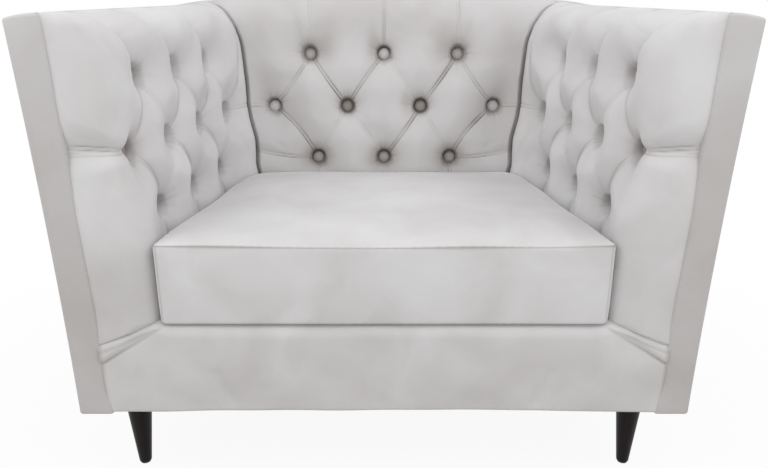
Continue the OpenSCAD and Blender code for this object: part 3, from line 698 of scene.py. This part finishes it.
def back_button(k, row):
    """Place of a back button across and up. The low row stands closer together."""
    if row == 0:
        return ((k - 0.5) * back_pitch, button_row_z)
    return (k * back_pitch * (low_row_share if row < 0 else 1), button_row_z + row * row_pitch)


back_places = [(k, 0) for k in (-1, 0, 1, 2)] + [(k, row) for row in (-1, 1) for k in (-1, 0, 1)]
back_buttons = [back_button(k, row) for k, row in back_places]

# Each button's shares of painted shade above it, below it, around it and on itself
back_shades = {
    (-1, 0): (0.80, 0.05, 0.26, 0.22), (0, 0): (1.00, 0.95, 0.36, 0.90),
    (1, 0): (1.00, 0.95, 0.36, 0.90), (2, 0): (0.80, 0.05, 0.26, 0.22),
    (-1, -1): (0.92, 0.50, 0.40, 0.70), (0, -1): (0.97, 0.60, 0.40, 0.66), (1, -1): (0.92, 0.50, 0.40, 0.70),
    (-1, 1): (0.70, 0.42, 0.38, 0.60), (0, 1): (0.98, 0.12, 0.30, 0.34), (1, 1): (0.70, 0.42, 0.38, 0.60),
}
back_shade_reach = 0.021

# Patches of painted shade on the back pad: place, half sizes and share of shade. The pairs are mirrored, and
# the last three lie at the middle buttons.
shade_patch_pairs = [
    (0.126, 0.715, 0.026, 0.055, 0.30), (0.272, 0.745, 0.032, 0.050, 0.24),
    (0.206, 0.572, 0.034, 0.030, 0.24), (0.150, 0.470, 0.048, 0.026, 0.36),
    (0.262, 0.640, 0.022, 0.045, 0.20),
]
shade_patches = [(side * x, *rest) for x, *rest in shade_patch_pairs for side in (-1, 1)] + [
    (-0.026, 0.730, 0.016, 0.050, 0.30), (0.046, 0.606, 0.014, 0.032, 0.26),
    (-0.012, 0.468, 0.044, 0.026, 0.36),
]
back_crease = 1.45
back_creases = {
    ((-1, 1), (-1, 0)): (0.6, 0.6, -0.006), ((-1, 1), (0, 0)): (1, 1, 0.002),
    ((0, 1), (0, 0)): (1, 1, 0.002), ((0, 1), (1, 0)): (0.1, 0.5, 0),
    ((1, 1), (1, 0)): (1, 1, -0.002), ((1, 1), (2, 0)): (0.6, 0.6, 0.006),
    ((-1, -1), (-1, 0)): (0.9, 1, 0.010), ((-1, -1), (0, 0)): (0.4, 0.25, 0),
    ((0, -1), (0, 0)): (0.5, 0, 0), ((0, -1), (1, 0)): (1, 0.9, 0.003),
    ((1, -1), (1, 0)): (0.4, 0.25, 0), ((1, -1), (2, 0)): (0.9, 1, -0.010),
}
back_pleats = [
    (bowed(back_button(*a), back_button(*b), bow), back_pleat, back_pleat_w,
     (back_crease * first, back_crease * last))
    for (a, b), (first, last, bow) in back_creases.items()
]
for k in (-1, 0, 1):
    low = back_button(k, -1)
    back_pleats.append((bowed(low, (low[0], below_deck)), long_pleat, back_pleat_w, (0.8, 0.7)))
back_pleats.append((bowed(back_button(0, 1), (0, 0.96)), long_pleat, back_pleat_w, (1, 0.7)))
for sign in (-1, 1):
    top = (sign * back_pitch, button_row_z + row_pitch)
    low = (sign * back_pitch * low_row_share, button_row_z - row_pitch)
    middle = (sign * 1.5 * back_pitch, button_row_z)
    valley = sign * valley_x
    back_pleats += [
        (bowed(top, (sign * 0.162, 0.93)), (0.005, 0.005), 0.050, (0.8, 0.1)),
        (bowed(top, (sign * 0.200, 0.79)), (0.003, 0.002), 0.040, (0.9, 0)),
        (bowed(top, (sign * 0.140, 0.79)), (0.002, 0.002), 0.030, (0.4, 0)),
        (bowed(middle, (valley, button_row_z)), (0.003, 0.003), 0.030, (0.7, 0.5)),
        (bowed(low, (valley, 0.505), sign * 0.008), (0.004, 0.004), 0.030, (1, 0.5)),
        (bowed(low, (sign * 0.245, 0.512), sign * 0.010), (0.002, 0.002), 0.030, (0.8, 0)),
    ]

z, thickness = profile(back_top, back_roll)
crest = pad_t - np.maximum(0, seat_h - z) * recline
half_cells = round(back_half_w / cell)
meeting_y = front_y + back_face(z) - crest * thickness
meeting = []
for row in arm_surface[:, face_cells + arc_cells:]:
    y = np.interp(row[-1, 2], z, meeting_y)
    meeting.append([np.interp(y, row[:, 1], row[:, axis]) for axis in (0, 2)])
meeting = np.array(meeting)
arm_end_x = np.interp(z, np.maximum.accumulate(meeting[:, 1]), meeting[:, 0])
end_x = np.minimum(arm_end_x + end_behind, arm_face(back_face(z) - crest * thickness, z) - back_step)
x_share = np.linspace(-1, 1, 2 * half_cells + 1)
x = x_share[None, :] * end_x[:, None]
z_grid = np.repeat(z[:, None], x.shape[1], axis=1)
base = np.stack([
    x,
    front_y + (back_face(z) - crest * thickness)[:, None] + 0 * x,
    z_grid,
], axis=2)
top_t = np.clip((z - back_top + back_roll) / back_roll, 0, 1)
over_top = np.where(top_t > 0, (1 - thickness) * over_top_length, 0)
shades = [back_shades[place][:3] + (back_shade_reach,) for place in back_places]
sunk, creases, fold = quilt(
    x, z_grid + over_top[:, None], back_buttons, back_pleats, back_sink, back_cone, shades, 5)
sunk += back_end_depth * rounding(1 - (end_x[:, None] - np.abs(x)) / end_round)
into_valley = np.abs(x) - arm_end_x[:, None]
sunk += valley_sink * smooth((into_valley + valley_w) / valley_w)
# Painted shade: a dark line where the back pad passes behind the arm pad
fold = np.maximum(fold, 0.95 * smooth((into_valley + 0.0018) / 0.002))
surface = sink_in(base, sunk + creases, thickness, back_wave, 52, (0, -1, 0))
tuck_x = arm_face(back_face(z), z) - soft_gap - back_step * smooth((z - arm_top + 0.025) / 0.02)
tuck_y = front_y + back_face(z)
surface = np.concatenate([
    tuck_in(surface[:, 0], -tuck_x, tuck_y)[:, ::-1], surface, tuck_in(surface[:, -1], tuck_x, tuck_y),
], axis=1)
# Painted shade in the patches
patch_shade = sum(share * np.exp(-((x - x_patch) / w) ** 2 - ((z_grid - z_patch) / h) ** 2)
           for x_patch, z_patch, w, h, share in shade_patches)
fold = np.clip(fold + patch_shade * (1 - fold), 0, 1)
fold = np.pad(fold, ((0, 0), (end_cells, end_cells)), mode="edge")
# Painted shade over the whole back pad, added to the rest
fold = np.maximum(fold, back_base_shade) + 0.5 * np.minimum(fold, back_base_shade)
quads = grid_faces(*fold.shape)[:, ::-1]
pad = cloth_mesh("back_buttoned_pad", surface.reshape(-1, 3), quads, fold.ravel())
upholster(pad, "back_tufted_cover")


# Covered buttons: domed metal shells of 25 mm with velvet drawn tight over them, one in each pit, each pulled
# in by a twine through its pad. One button is modelled and copied to every place.
button_d = 0.025
button_dome = 0.56
button_base = 0.0026
bpy.ops.object.select_all(action="DESELECT")
bpy.ops.mesh.primitive_uv_sphere_add(segments=32, ring_count=20, radius=button_d / 2)
button = bpy.context.object
bpy.ops.object.mode_set(mode="EDIT")
bpy.ops.mesh.select_all(action="SELECT")
bpy.ops.transform.resize(value=(1, 1, button_dome))
bpy.ops.mesh.bisect(plane_co=(0, 0, -button_base), plane_no=(0, 0, -1), use_fill=True, clear_outer=True)
bpy.ops.object.mode_set(mode="OBJECT")
bpy.ops.object.shade_smooth_by_angle(angle=math.radians(50))
button.data.materials.append(velvet)
button.data.attributes.new("fold", "FLOAT", "POINT")


def place_buttons(name, node, places, shades):
    """One piece from copies of the button, each at its place and facing its direction."""
    bpy.ops.object.select_all(action="DESELECT")
    for (point, facing), shade in zip(places, shades):
        copy = button.copy()
        copy.data = button.data.copy()
        # Each copy carries its own share of painted shade
        copy.data.attributes["fold"].data.foreach_set("value", [shade] * len(copy.data.vertices))
        copy.location = point
        copy.rotation_euler = Vector(facing).to_track_quat("Z", "Y").to_euler()
        scene.collection.objects.link(copy)
        copy.select_set(True)
    bpy.context.view_layer.objects.active = copy
    bpy.ops.object.join()
    bpy.ops.object.transform_apply(location=True, rotation=True, scale=True)
    copy.name = name
    upholster(copy, node)


def sunk_place(point, facing, sink):
    """A button's centre where its pit is sunk by a length, and the direction that it faces."""
    facing = Vector(facing).normalized()
    return Vector(point) - facing * (sink - button_base), facing


for side, mirror in (("left", -1), ("right", 1)):
    places = []
    for depth, z in arm_buttons:
        point = (mirror * (arm_face(depth, z) - pad_t), front_y + depth, z)
        places.append(sunk_place(point, (-mirror, -arm_splay, arm_lean), arm_sink))
    place_buttons(f"{side}_arm_covered_buttons", f"{side}_arm_buttons", places,
                  [arm_shades[place][3] for place in arm_places])
place_buttons("back_covered_buttons", "back_buttons", [
    sunk_place((x, front_y + back_face(z) - pad_t, z), (0, -1, recline), back_sink) for x, z in back_buttons
], [back_shades[place][3] for place in back_places])
bpy.data.objects.remove(button)


# Outside of the back: velvet over board and a thin layer of wadding. A flat panel closes the rear from arm to
# arm, and above it the back stands in two steps, each wrapped round its top and ends.
outside_t = 0.0085
rear_wadding = 0.003
step_wadding = 0.007
step_top = arm_top + arm_rise
step_foot = body_foot + 0.1
step_inset = 0.0006
rear_cell = 0.014
rear_edge_cell = 0.0014
rear_puff = 0.0015
rear_wave = 0.0012


def back_box(reach, foot, top, front, rear, edge):
    """Padded block of the back, as points and faces. It passes the arm panels' inner faces by reach."""
    size = (2 * (arm_face(0.6, 0.7) + reach), rear - front, top - foot)
    lattice, faces = box_lattice([graded(length, rear_cell, rear_edge_cell, edge) for length in size])
    shares = rounded(lattice, size, edge)
    z = foot + (top - foot) * (shares[:, 2] + 1) / 2
    depth = back_face(z) + front + (rear - front) * (shares[:, 1] + 1) / 2
    x = shares[:, 0] * (arm_face(depth, z) + reach)
    points = np.stack([x, front_y + depth, z], axis=1)
    flat = np.clip(1 - np.abs(shares[:, 0]) ** 12, 0, 1) * np.clip(1 - np.abs(shares[:, 2]) ** 8, 0, 1)
    points[:, 1] += (shares[:, 1] > 0) * flat * (rear_puff + ripple(points, 0.24, rear_wave, 8))
    return points, faces


blocks = [
    back_box(panel_w, body_foot, arm_top, panel_t - outside_t, panel_t, rear_wadding),
    back_box(0, step_foot, step_top, 0, panel_t - 2 * step_inset, step_wadding),
    back_box(-back_step, step_foot, back_top, 0, panel_t - step_inset, step_wadding),
]
starts = np.cumsum([0] + [len(points) for points, _ in blocks])
cover = cloth_mesh(
    "outside_back_wadded_cover",
    np.concatenate([points for points, _ in blocks]),
    np.concatenate([np.array(faces) + start for (_, faces), start in zip(blocks, starts)]),
)
upholster(cover, "outside_back_cover")


# Front border: velvet over wadding on the front rail, rolled over the rail's top and stapled under its arched
# lower edge. Beside the cushion it runs up to the arm in a gusset, whose cloth is folded along two lines.
border_set = 0.002
border_roll = 0.028
gusset_roll = 0.012
border_foot_roll = 0.006
border_arch = 0.005
border_rise = 0.0015
border_base_shade = 0.14
border_w = 0.95
border_h = 0.15
border_under = 0.020
border_over = 0.036
border_puff = 0.0035
border_wave = 0.0011
gusset_x = 0.378
gusset_swell = 0.004
fold_foot = 0.233
fold_w, fold_depth = 0.0022, 0.0026
second_w, second_depth = 0.0018, 0.0014
slack_w, slack_depth = 0.012, 0.0022
edge_shade, edge_shade_w = 0.45, 0.0035
border_cell = 0.0028


def gusset_line(x, z_outer):
    """Height of a gusset's line across the chair: level in the middle, then falling to the arm."""
    t = np.clip((np.abs(x) - gusset_x) / (arm_face(0, z_outer) - gusset_x), 0, 1)
    return deck_h - (deck_h - z_outer) * t ** gusset_power


columns = round(border_w / border_cell)
rows_front = round(border_h / border_cell)
share = np.linspace(-1, 1, columns + 1)[None, :]
turn_foot = np.linspace(-math.pi / 2, 0, 7)[:, None]
turn_top = np.linspace(0, math.pi / 2, 31)[1:, None]
up = np.linspace(0, 1, rows_front + 1)[1:-1, None]
end_x = arm_face(0, 0.2)
foot = body_foot + border_rise + border_arch * np.cos(share * math.pi / 2)
top = gusset_line(share * end_x, gusset_foot)
roll = border_roll + (gusset_roll - border_roll) * smooth((np.abs(share * end_x) - gusset_x + 0.03) / 0.06)
z_rows = np.concatenate([
    foot + 0 * turn_foot[:1],
    foot + border_foot_roll * (1 + np.sin(turn_foot)),
    foot + border_foot_roll + (top - roll - foot - border_foot_roll) * up,
    top - roll + roll * np.sin(turn_top),
    top - 0.0015 + 0 * turn_top[:1],
])
d_rows = np.concatenate([
    border_under + 0 * share,
    border_foot_roll * (1 - np.cos(turn_foot)) + 0 * share,
    0 * up + 0 * share,
    roll * (1 - np.cos(turn_top)),
    border_over + 0 * share,
])
x_rows = share * (arm_face(0, z_rows) - soft_gap)
middle = np.clip((z_rows - foot) / (top - foot), 0, 1)
front_part = d_rows < roll * 0.9
border_points = np.stack([x_rows, front_y + border_set + d_rows, z_rows], axis=2)
wave = ripple(border_points.reshape(-1, 3), 0.10, border_wave, 21).reshape(middle.shape)
puff = border_puff * np.sin(math.pi * middle) + wave
side_x = np.abs(x_rows)
first_fold = [(gusset_x - 0.002, deck_h - 0.010), (end_x, fold_foot)]
second_fold = [(gusset_x + 0.004, deck_h - 0.012), (end_x + 0.005, fold_foot + 0.018)]
slack_fold = [(0.285, 0.212), (0.262, 0.158)]
gap, run_share = line_places(first_fold, side_x, z_rows)
fold_line = bell(gap, fold_w) * (0.35 + 0.65 * run_share)
gap, _ = line_places(second_fold, side_x, z_rows)
second_line = 0.6 * bell(gap, second_w)
gap, _ = line_places(slack_fold, side_x, z_rows)
puff -= fold_depth * fold_line + second_depth * second_line + slack_depth * bell(gap, slack_w)
above_fold = smooth((z_rows - gusset_line(x_rows, fold_foot) + 0.008) / 0.016)
puff += gusset_swell * (above_fold * smooth((side_x - gusset_x) / 0.04))
border_points[:, :, 1] -= puff * front_part
# Painted shade along the gusset's two fold lines and at the ends beside the arms, over a painted shade on the
# whole border
fold = np.clip(0.55 * fold_line + 0.35 * second_line, 0, 1)
fold = np.maximum(fold, edge_shade * bell(end_x - side_x, edge_shade_w))
fold = border_base_shade + (1 - border_base_shade) * fold
border = cloth_mesh("front_border_cover", border_points.reshape(-1, 3), grid_faces(*fold.shape), fold.ravel())
upholster(border, "front_border")


# Deck under the cushion: velvet drawn over the seat's foam, tucked in under the pads and stapled to rails.
# It dips slightly in its middle, and a stitched line joins its front strip to the rest.
seat_w = 0.76
deck_cell = 0.006
deck_front = 0.034
deck_dip = 0.0014
deck_tuck = 0.030
deck_over_foam = 0.0005
strip_depth = 0.11
stitch_w, stitch_depth = 0.004, 0.0006
deck_rear = back_face(deck_h) - pad_t + (seat_h - deck_h) * recline + deck_tuck
rows = round(deck_rear / deck_cell)
depth = np.linspace(deck_front, deck_rear, rows + 1)[:, None]
share = np.linspace(-1, 1, round(seat_w / deck_cell) + 1)[None, :]
x = share * (arm_face(depth, deck_h) - pad_t + deck_tuck)
along = (depth - deck_front) / (deck_rear - deck_front)
dip = deck_dip * np.clip(1 - share ** 4, 0, 1) * np.clip(1 - (2 * along - 1) ** 4, 0, 1)
stitch = bell(depth - strip_depth, stitch_w) + 0 * share
z_deck = deck_h - deck_over_foam - dip - stitch_depth * stitch
deck_points = np.stack([x, front_y + depth + 0 * x, z_deck], axis=2)
quads = grid_faces(*z_deck.shape)[:, ::-1]
# Painted shade along the stitched line
deck = cloth_mesh("deck_cover", deck_points.reshape(-1, 3), quads, 0.6 * stitch.ravel())
upholster(deck, "seat_deck_cover")


# Loose seat cushion: a velvet box cover over a foam core wrapped in wadding. Plain seams join its top, its
# foot and its boxing, and a zip lies in a groove of the rear boxing. Its filling is blown out as cloth.
cushion_t = 0.138
cushion_crown = 0.016
front_corner = 0.010
rear_corner = 0.052
boxing_edge = 0.005
cushion_cell = 0.0085
corner_cell = 0.003
boxing_cell = 0.0025
cushion_foot = deck_h + soft_gap
zip_z = cushion_foot + cushion_t / 2
zip_half_w = 0.200
zip_half_h = 0.009
zip_sink = 0.0112
cushion_rear = back_face(seat_h) - pad_t - soft_gap
cushion_swell = 0.007
top_swell = 0.013
crown_power = 2.4
front_sag = 0.0035
foot_draw = 0.0015
cushion_wave = 0.0010
cushion_seam_w, seam_sink = 0.0028, 0.0016
corner_seam_w, corner_seam_sink = 0.0014, 0.0007
pucker_pitch, pucker_reach, pucker_h = 0.017, 0.010, 0.0004
front_droop = 0.006
front_droop_length = 0.030

size = (seat_w, cushion_rear, cushion_t)
lattice, cushion_faces = box_lattice([
    graded(size[0], cushion_cell, corner_cell, front_corner),
    graded(size[1], cushion_cell, corner_cell, front_corner),
    graded(size[2], cushion_cell, boxing_cell, boxing_edge),
])


def droop_at(y):
    """How far the cushion's foot hangs down over the front border's rolled edge."""
    return front_droop * np.clip(1 - (y - front_y) / front_droop_length, 0, 1.2) ** 2


def cushion_place(shares):
    """Points of the cushion for shares of its box. In plan the corners are rounded and the sides splay."""
    right, rear, up = shares.T
    half = np.array([size[0] / 2, size[1] / 2])
    flat = shares[:, :2] * half
    radius = np.where(rear > 0, rear_corner, front_corner)[:, None]
    core = np.clip(flat, radius - half, half - radius)
    out = flat - core
    corner = (np.abs(out) > 0).all(axis=1)
    square = np.abs(out).max(axis=1, keepdims=True)
    reach = np.linalg.norm(out, axis=1, keepdims=True)
    out = np.where(corner[:, None], out * square / np.maximum(reach, 1e-9), out)
    flat = core + out
    across, along = flat[:, 0] / half[0], (flat[:, 1] / half[1] + 1) / 2
    depth = along * cushion_rear
    reach_x = arm_face(depth, seat_h) - pad_t - soft_gap
    z = cushion_foot + cushion_t * (up + 1) / 2
    draw = foot_draw * up ** 2 * (up < 0)
    x = across * (reach_x - cushion_swell * 0.5 - draw)
    y = front_y + depth + (draw + cushion_swell * 0.5) * (1 - 2 * along)
    rise = (1 - np.abs(right) ** crown_power) * (1 - np.abs(rear) ** crown_power)
    z = z + cushion_crown * 0.5 * rise * (up > 0.999)
    z -= front_sag * (1 - right ** 2) * (rear < -0.5) * (up > 0) * up
    return np.stack([x, y, z - droop_at(y) * (1 - up) / 2], axis=1)


def read_vectors(collection, key):
    """A mesh's vectors, one in each row."""
    values = np.empty(len(collection) * 3)
    collection.foreach_get(key, values)
    return values.reshape(-1, 3)


start = cushion_place(lattice)
cushion = cloth_mesh("seat_cushion_cover", start, np.array(cushion_faces))
top = lattice[:, 2] > 0.999
seam_points = (np.abs(np.abs(lattice[:, 2]) - 1) < 1e-6) & ((np.abs(lattice[:, :2]) > 1 - 1e-6).any(axis=1))
blown = start.copy()
pinned = cushion.vertex_groups.new(name="seams")
pinned.add([int(i) for i in np.flatnonzero(seam_points)], 1.0, "REPLACE")
cloth = cushion.modifiers.new("filling", "CLOTH")
for setting, value in {
    "quality": 6, "mass": 0.25, "tension_stiffness": 18, "compression_stiffness": 18,
    "shear_stiffness": 6, "bending_stiffness": 0.4, "vertex_group_mass": "seams",
    "use_pressure": True, "uniform_pressure_force": 4,
}.items():
    setattr(cloth.settings, setting, value)
cloth.settings.effector_weights.gravity = 0
cloth.collision_settings.use_collision = False
for frame_number in range(1, 21):
    scene.frame_set(frame_number)
settled = cushion.evaluated_get(bpy.context.evaluated_depsgraph_get()).data
blown = read_vectors(settled.vertices, "co")
cushion.modifiers.clear()
cushion.vertex_groups.clear()
scene.frame_set(1)

# A point moves no further than its face can swell, and the foot stays flat on the deck
move = blown - start
limit = np.where(top, top_swell, np.where(lattice[:, 2] < -0.999, 1e-6, cushion_swell))
reach = np.maximum(np.linalg.norm(move, axis=1), 1e-9)
move *= (limit * np.tanh(reach / limit) / reach)[:, None]
cushion.data.vertices.foreach_set("co", (start + move).ravel())
cushion.data.attributes.new("share", "FLOAT_VECTOR", "POINT").data.foreach_set("vector", lattice.ravel())
bpy.ops.object.select_all(action="DESELECT")
bpy.context.view_layer.objects.active = cushion
cushion.select_set(True)
cushion.modifiers.new("smoother", "SUBSURF").levels = 1
bpy.ops.object.modifier_apply(modifier="smoother")

# Seams draw in between the swollen faces, with small puckers beside them, and the zip's groove is pressed in
points = read_vectors(cushion.data.vertices, "co")
normals = read_vectors(cushion.data.vertices, "normal")
shares = read_vectors(cushion.data.attributes["share"].data, "vector")
right, rear, up = shares.T
to_edge = (1 - np.abs(shares)) * np.array(size) / 2
from_seam = to_edge[:, 2] + np.minimum(to_edge[:, 0], to_edge[:, 1])
seam_line = bell(from_seam, cushion_seam_w)
at_side = np.abs(right) * size[0] > np.abs(rear) * size[1]
round_plan = np.where(at_side, points[:, 1], points[:, 0])
pucker = np.sin(round_plan * 2 * math.pi / pucker_pitch + 2 * np.sin(round_plan * 31))
pucker *= np.exp(-from_seam / pucker_reach)
seam_x = np.abs(points[:, 0]).max() - 0.0060
corner_seam = bell(np.abs(points[:, 0]) - seam_x, corner_seam_w)
corner_seam *= (rear < -0.97) * (np.abs(up) < 0.99)
top_share = smooth((up - 0.9) / 0.1)
lift = ripple(points, 0.17, cushion_wave, 31) * (0.5 + top_share) + pucker_h * pucker
lift *= np.abs(up + 1) > 0.02
lift -= seam_sink * seam_line + corner_seam_sink * corner_seam
points += normals * lift[:, None]
in_zip = smooth((zip_half_h + 0.0022 - np.abs(points[:, 2] - zip_z)) / 0.003)
in_zip *= smooth((zip_half_w + 0.003 - np.abs(points[:, 0])) / 0.003) * (rear > 0.9)
points[:, 1] -= zip_sink * in_zip
points[:, 2] = np.maximum(points[:, 2], cushion_foot + 0.0002 - droop_at(points[:, 1]))
cushion.data.vertices.foreach_set("co", points.ravel())
cushion.data.attributes.remove(cushion.data.attributes["share"])
# Darker blotches at random, low on the cushion's front
front_blotches = np.clip(ripple(points, 0.10, 1.0, 41) - 0.15, 0, 1)
front_blotches *= (rear < -0.95) * np.clip(0.2 - up, 0, 1)
# Painted shade along the seams and down the front corners
fold = np.clip(0.8 * seam_line + 0.35 * corner_seam + 0.10 * front_blotches, 0, 1)
cushion.data.attributes.new("fold", "FLOAT", "POINT").data.foreach_set("value", fold.astype(np.float32))
cushion.data.shade_smooth()
upholster(cushion, "cushion_cover", body="cushion")


# Dust cover: black non-woven cloth stapled under the frame, which sags a little between the rails.
dust_z = 0.140
dust_front = 0.020
dust_edge = 0.043
dust_sag = 0.004
dust_rear = back_face(dust_z) + panel_t - 0.008
depth = np.linspace(dust_front, dust_rear, 45)[:, None]
share = np.linspace(-1, 1, 61)[None, :]
x = share * (arm_face(depth, dust_z) + dust_edge)
along = (depth - dust_front) / (dust_rear - dust_front)
sag = dust_sag * (1 - share ** 4) * (1 - (2 * along - 1) ** 4)
dust_points = np.stack([x, front_y + depth + 0 * x, dust_z - sag], axis=2)


def surface_of(tree, output, tones, share, height, relief, look):
    """Surface between two tones by a share, with bumps of a strength and a depth from a height."""
    tone = add_node(tree, "Mix", {"data_type": "RGBA", 6: linear(tones[0]), 7: linear(tones[1])},
                    [(0, *share)])
    bumps = add_node(tree, "Bump", {"Strength": relief[0], "Distance": relief[1]},
                     [("Height", *height)])
    shader = add_node(tree, "BsdfPrincipled", look, [("Base Color", tone, 2), ("Normal", bumps, 0)])
    tree.links.new(shader.outputs[0], output.inputs["Surface"])


dust_cloth, tree, output = new_material("nonwoven_polypropylene_dust_cloth")
coords = add_node(tree, "TexCoord", {})
dimple = add_node(tree, "TexVoronoi", {"Scale": 1 / 0.0045}, [("Vector", coords, "Object")])
dimples = (dimple, "Distance")
surface_of(tree, output, ("#1B1B1E", "#2C2C30"), dimples, dimples, (0.5, 0.0004),
           {"Roughness": 0.8, "Sheen Weight": 0.1})
dust = cloth_mesh("underside_dust_cloth", dust_points.reshape(-1, 3), grid_faces(*sag.shape))
dust.data.materials.clear()
dust.data.materials.append(dust_cloth)
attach(dust, "chair")
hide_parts("dust_cover")


# Materials of the kept frame: planed pine rails, posts and blocks, stained beech legs, hardboard, foam,
# webbing, hessian, zinc-plated steel and moulded glides.
def wood(name, dark, light, grain_axis, ring, roughness, gloss):
    """Planed or turned wood with its grain along one axis. The rings stretch twelvefold along the grain."""
    material, tree, output = new_material(name)
    stretch = [1 / ring] * 3
    stretch[grain_axis] /= 12
    coords = add_node(tree, "TexCoord", {})
    along = add_node(tree, "Mapping", {"Scale": stretch}, [("Vector", coords, "Object")])
    rings = add_node(tree, "TexNoise", {"Scale": 1.0, "Detail": 5, "Distortion": 1.2},
                     [("Vector", along, 0)])
    spread = add_node(tree, "MapRange", {"From Min": 0.35, "From Max": 0.65}, [("Value", rings, 0)])
    surface_of(tree, output, (dark, light), (spread, 0), (rings, 0), (0.2, 0.0003),
               {"Roughness": roughness, "Specular IOR Level": gloss, "IOR": 1.5})
    return material


def textile(name, dark, light, thread, roughness, relief):
    """Woven cloth whose threads cross at right angles, drawn from two waves at the thread's spacing."""
    material, tree, output = new_material(name)
    coords = add_node(tree, "TexCoord", {})
    warp, weft = [
        add_node(tree, "TexWave",
                 {"bands_direction": way, "Scale": 0.314 / thread, "Distortion": 0.6},
                 [("Vector", coords, "Object")])
        for way in ("X", "Y")
    ]
    crossing = add_node(tree, "Math", {"operation": "MULTIPLY"},
                        [(0, warp, "Fac"), (1, weft, "Fac")])
    surface_of(tree, output, (dark, light), (crossing, 0), (crossing, 0), (0.6, relief),
               {"Roughness": roughness})
    return material


def grained(name, dark, light, grain, roughness, metallic, relief):
    """Pressed, foamed, plated or moulded material with an even grain."""
    material, tree, output = new_material(name)
    coords = add_node(tree, "TexCoord", {})
    grains = add_node(tree, "TexNoise", {"Scale": 1 / grain, "Detail": 3},
                      [("Vector", coords, "Object")])
    surface_of(tree, output, (dark, light), (grains, 0), (grains, 0), (0.3, relief),
               {"Roughness": roughness, "Metallic": metallic})
    return material


pine = {axis: wood(f"planed_pine_{name}", "#B4814B", "#D8AF78", axis, 0.010, 0.62, 0.35)
        for axis, name in enumerate(("across", "along", "upright"))}
finishes = {
    "hardboard": grained("pressed_hardboard", "#4A2F1B", "#6A4529", 0.0012, 0.7, 0, 0.0001),
    "foam": grained("polyether_foam", "#D8C187", "#EAD9A6", 0.0009, 0.95, 0, 0.0004),
    "webbing": textile("woven_elastic_webbing", "#17171A", "#2E2E33", 0.003, 0.75, 0.0005),
    "hessian": textile("plain_woven_hessian", "#7A5C34", "#B08A55", 0.0022, 0.95, 0.0006),
    "dark_wood": wood("wenge_stained_beech", "#120C0C", "#1E1515", 2, 0.006, 0.40, 0.14),
    "glide_plastic": grained("moulded_polyamide", "#1C1C1D", "#27272A", 0.0008, 0.5, 0, 0.00005),
    "steel": grained("zinc_plated_steel", "#A9ACB0", "#C9CBCF", 0.004, 0.34, 1, 0.00005),
    "dust_cloth": dust_cloth,
    "zip_tape": textile("woven_zip_tape", "#8A8786", "#AAA7A5", 0.0012, 0.85, 0.0003),
    "velvet": velvet,
}
for part in frame["record"]["subparts"]:
    kept = nodes[part["node"]]
    low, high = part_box(part["node"])
    sides = [high[axis] - low[axis] for axis in range(3)]
    finish = finishes.get(part["material_slot"]) or pine[sides.index(max(sides))]
    kept.data.materials.clear()
    kept.data.materials.append(finish)
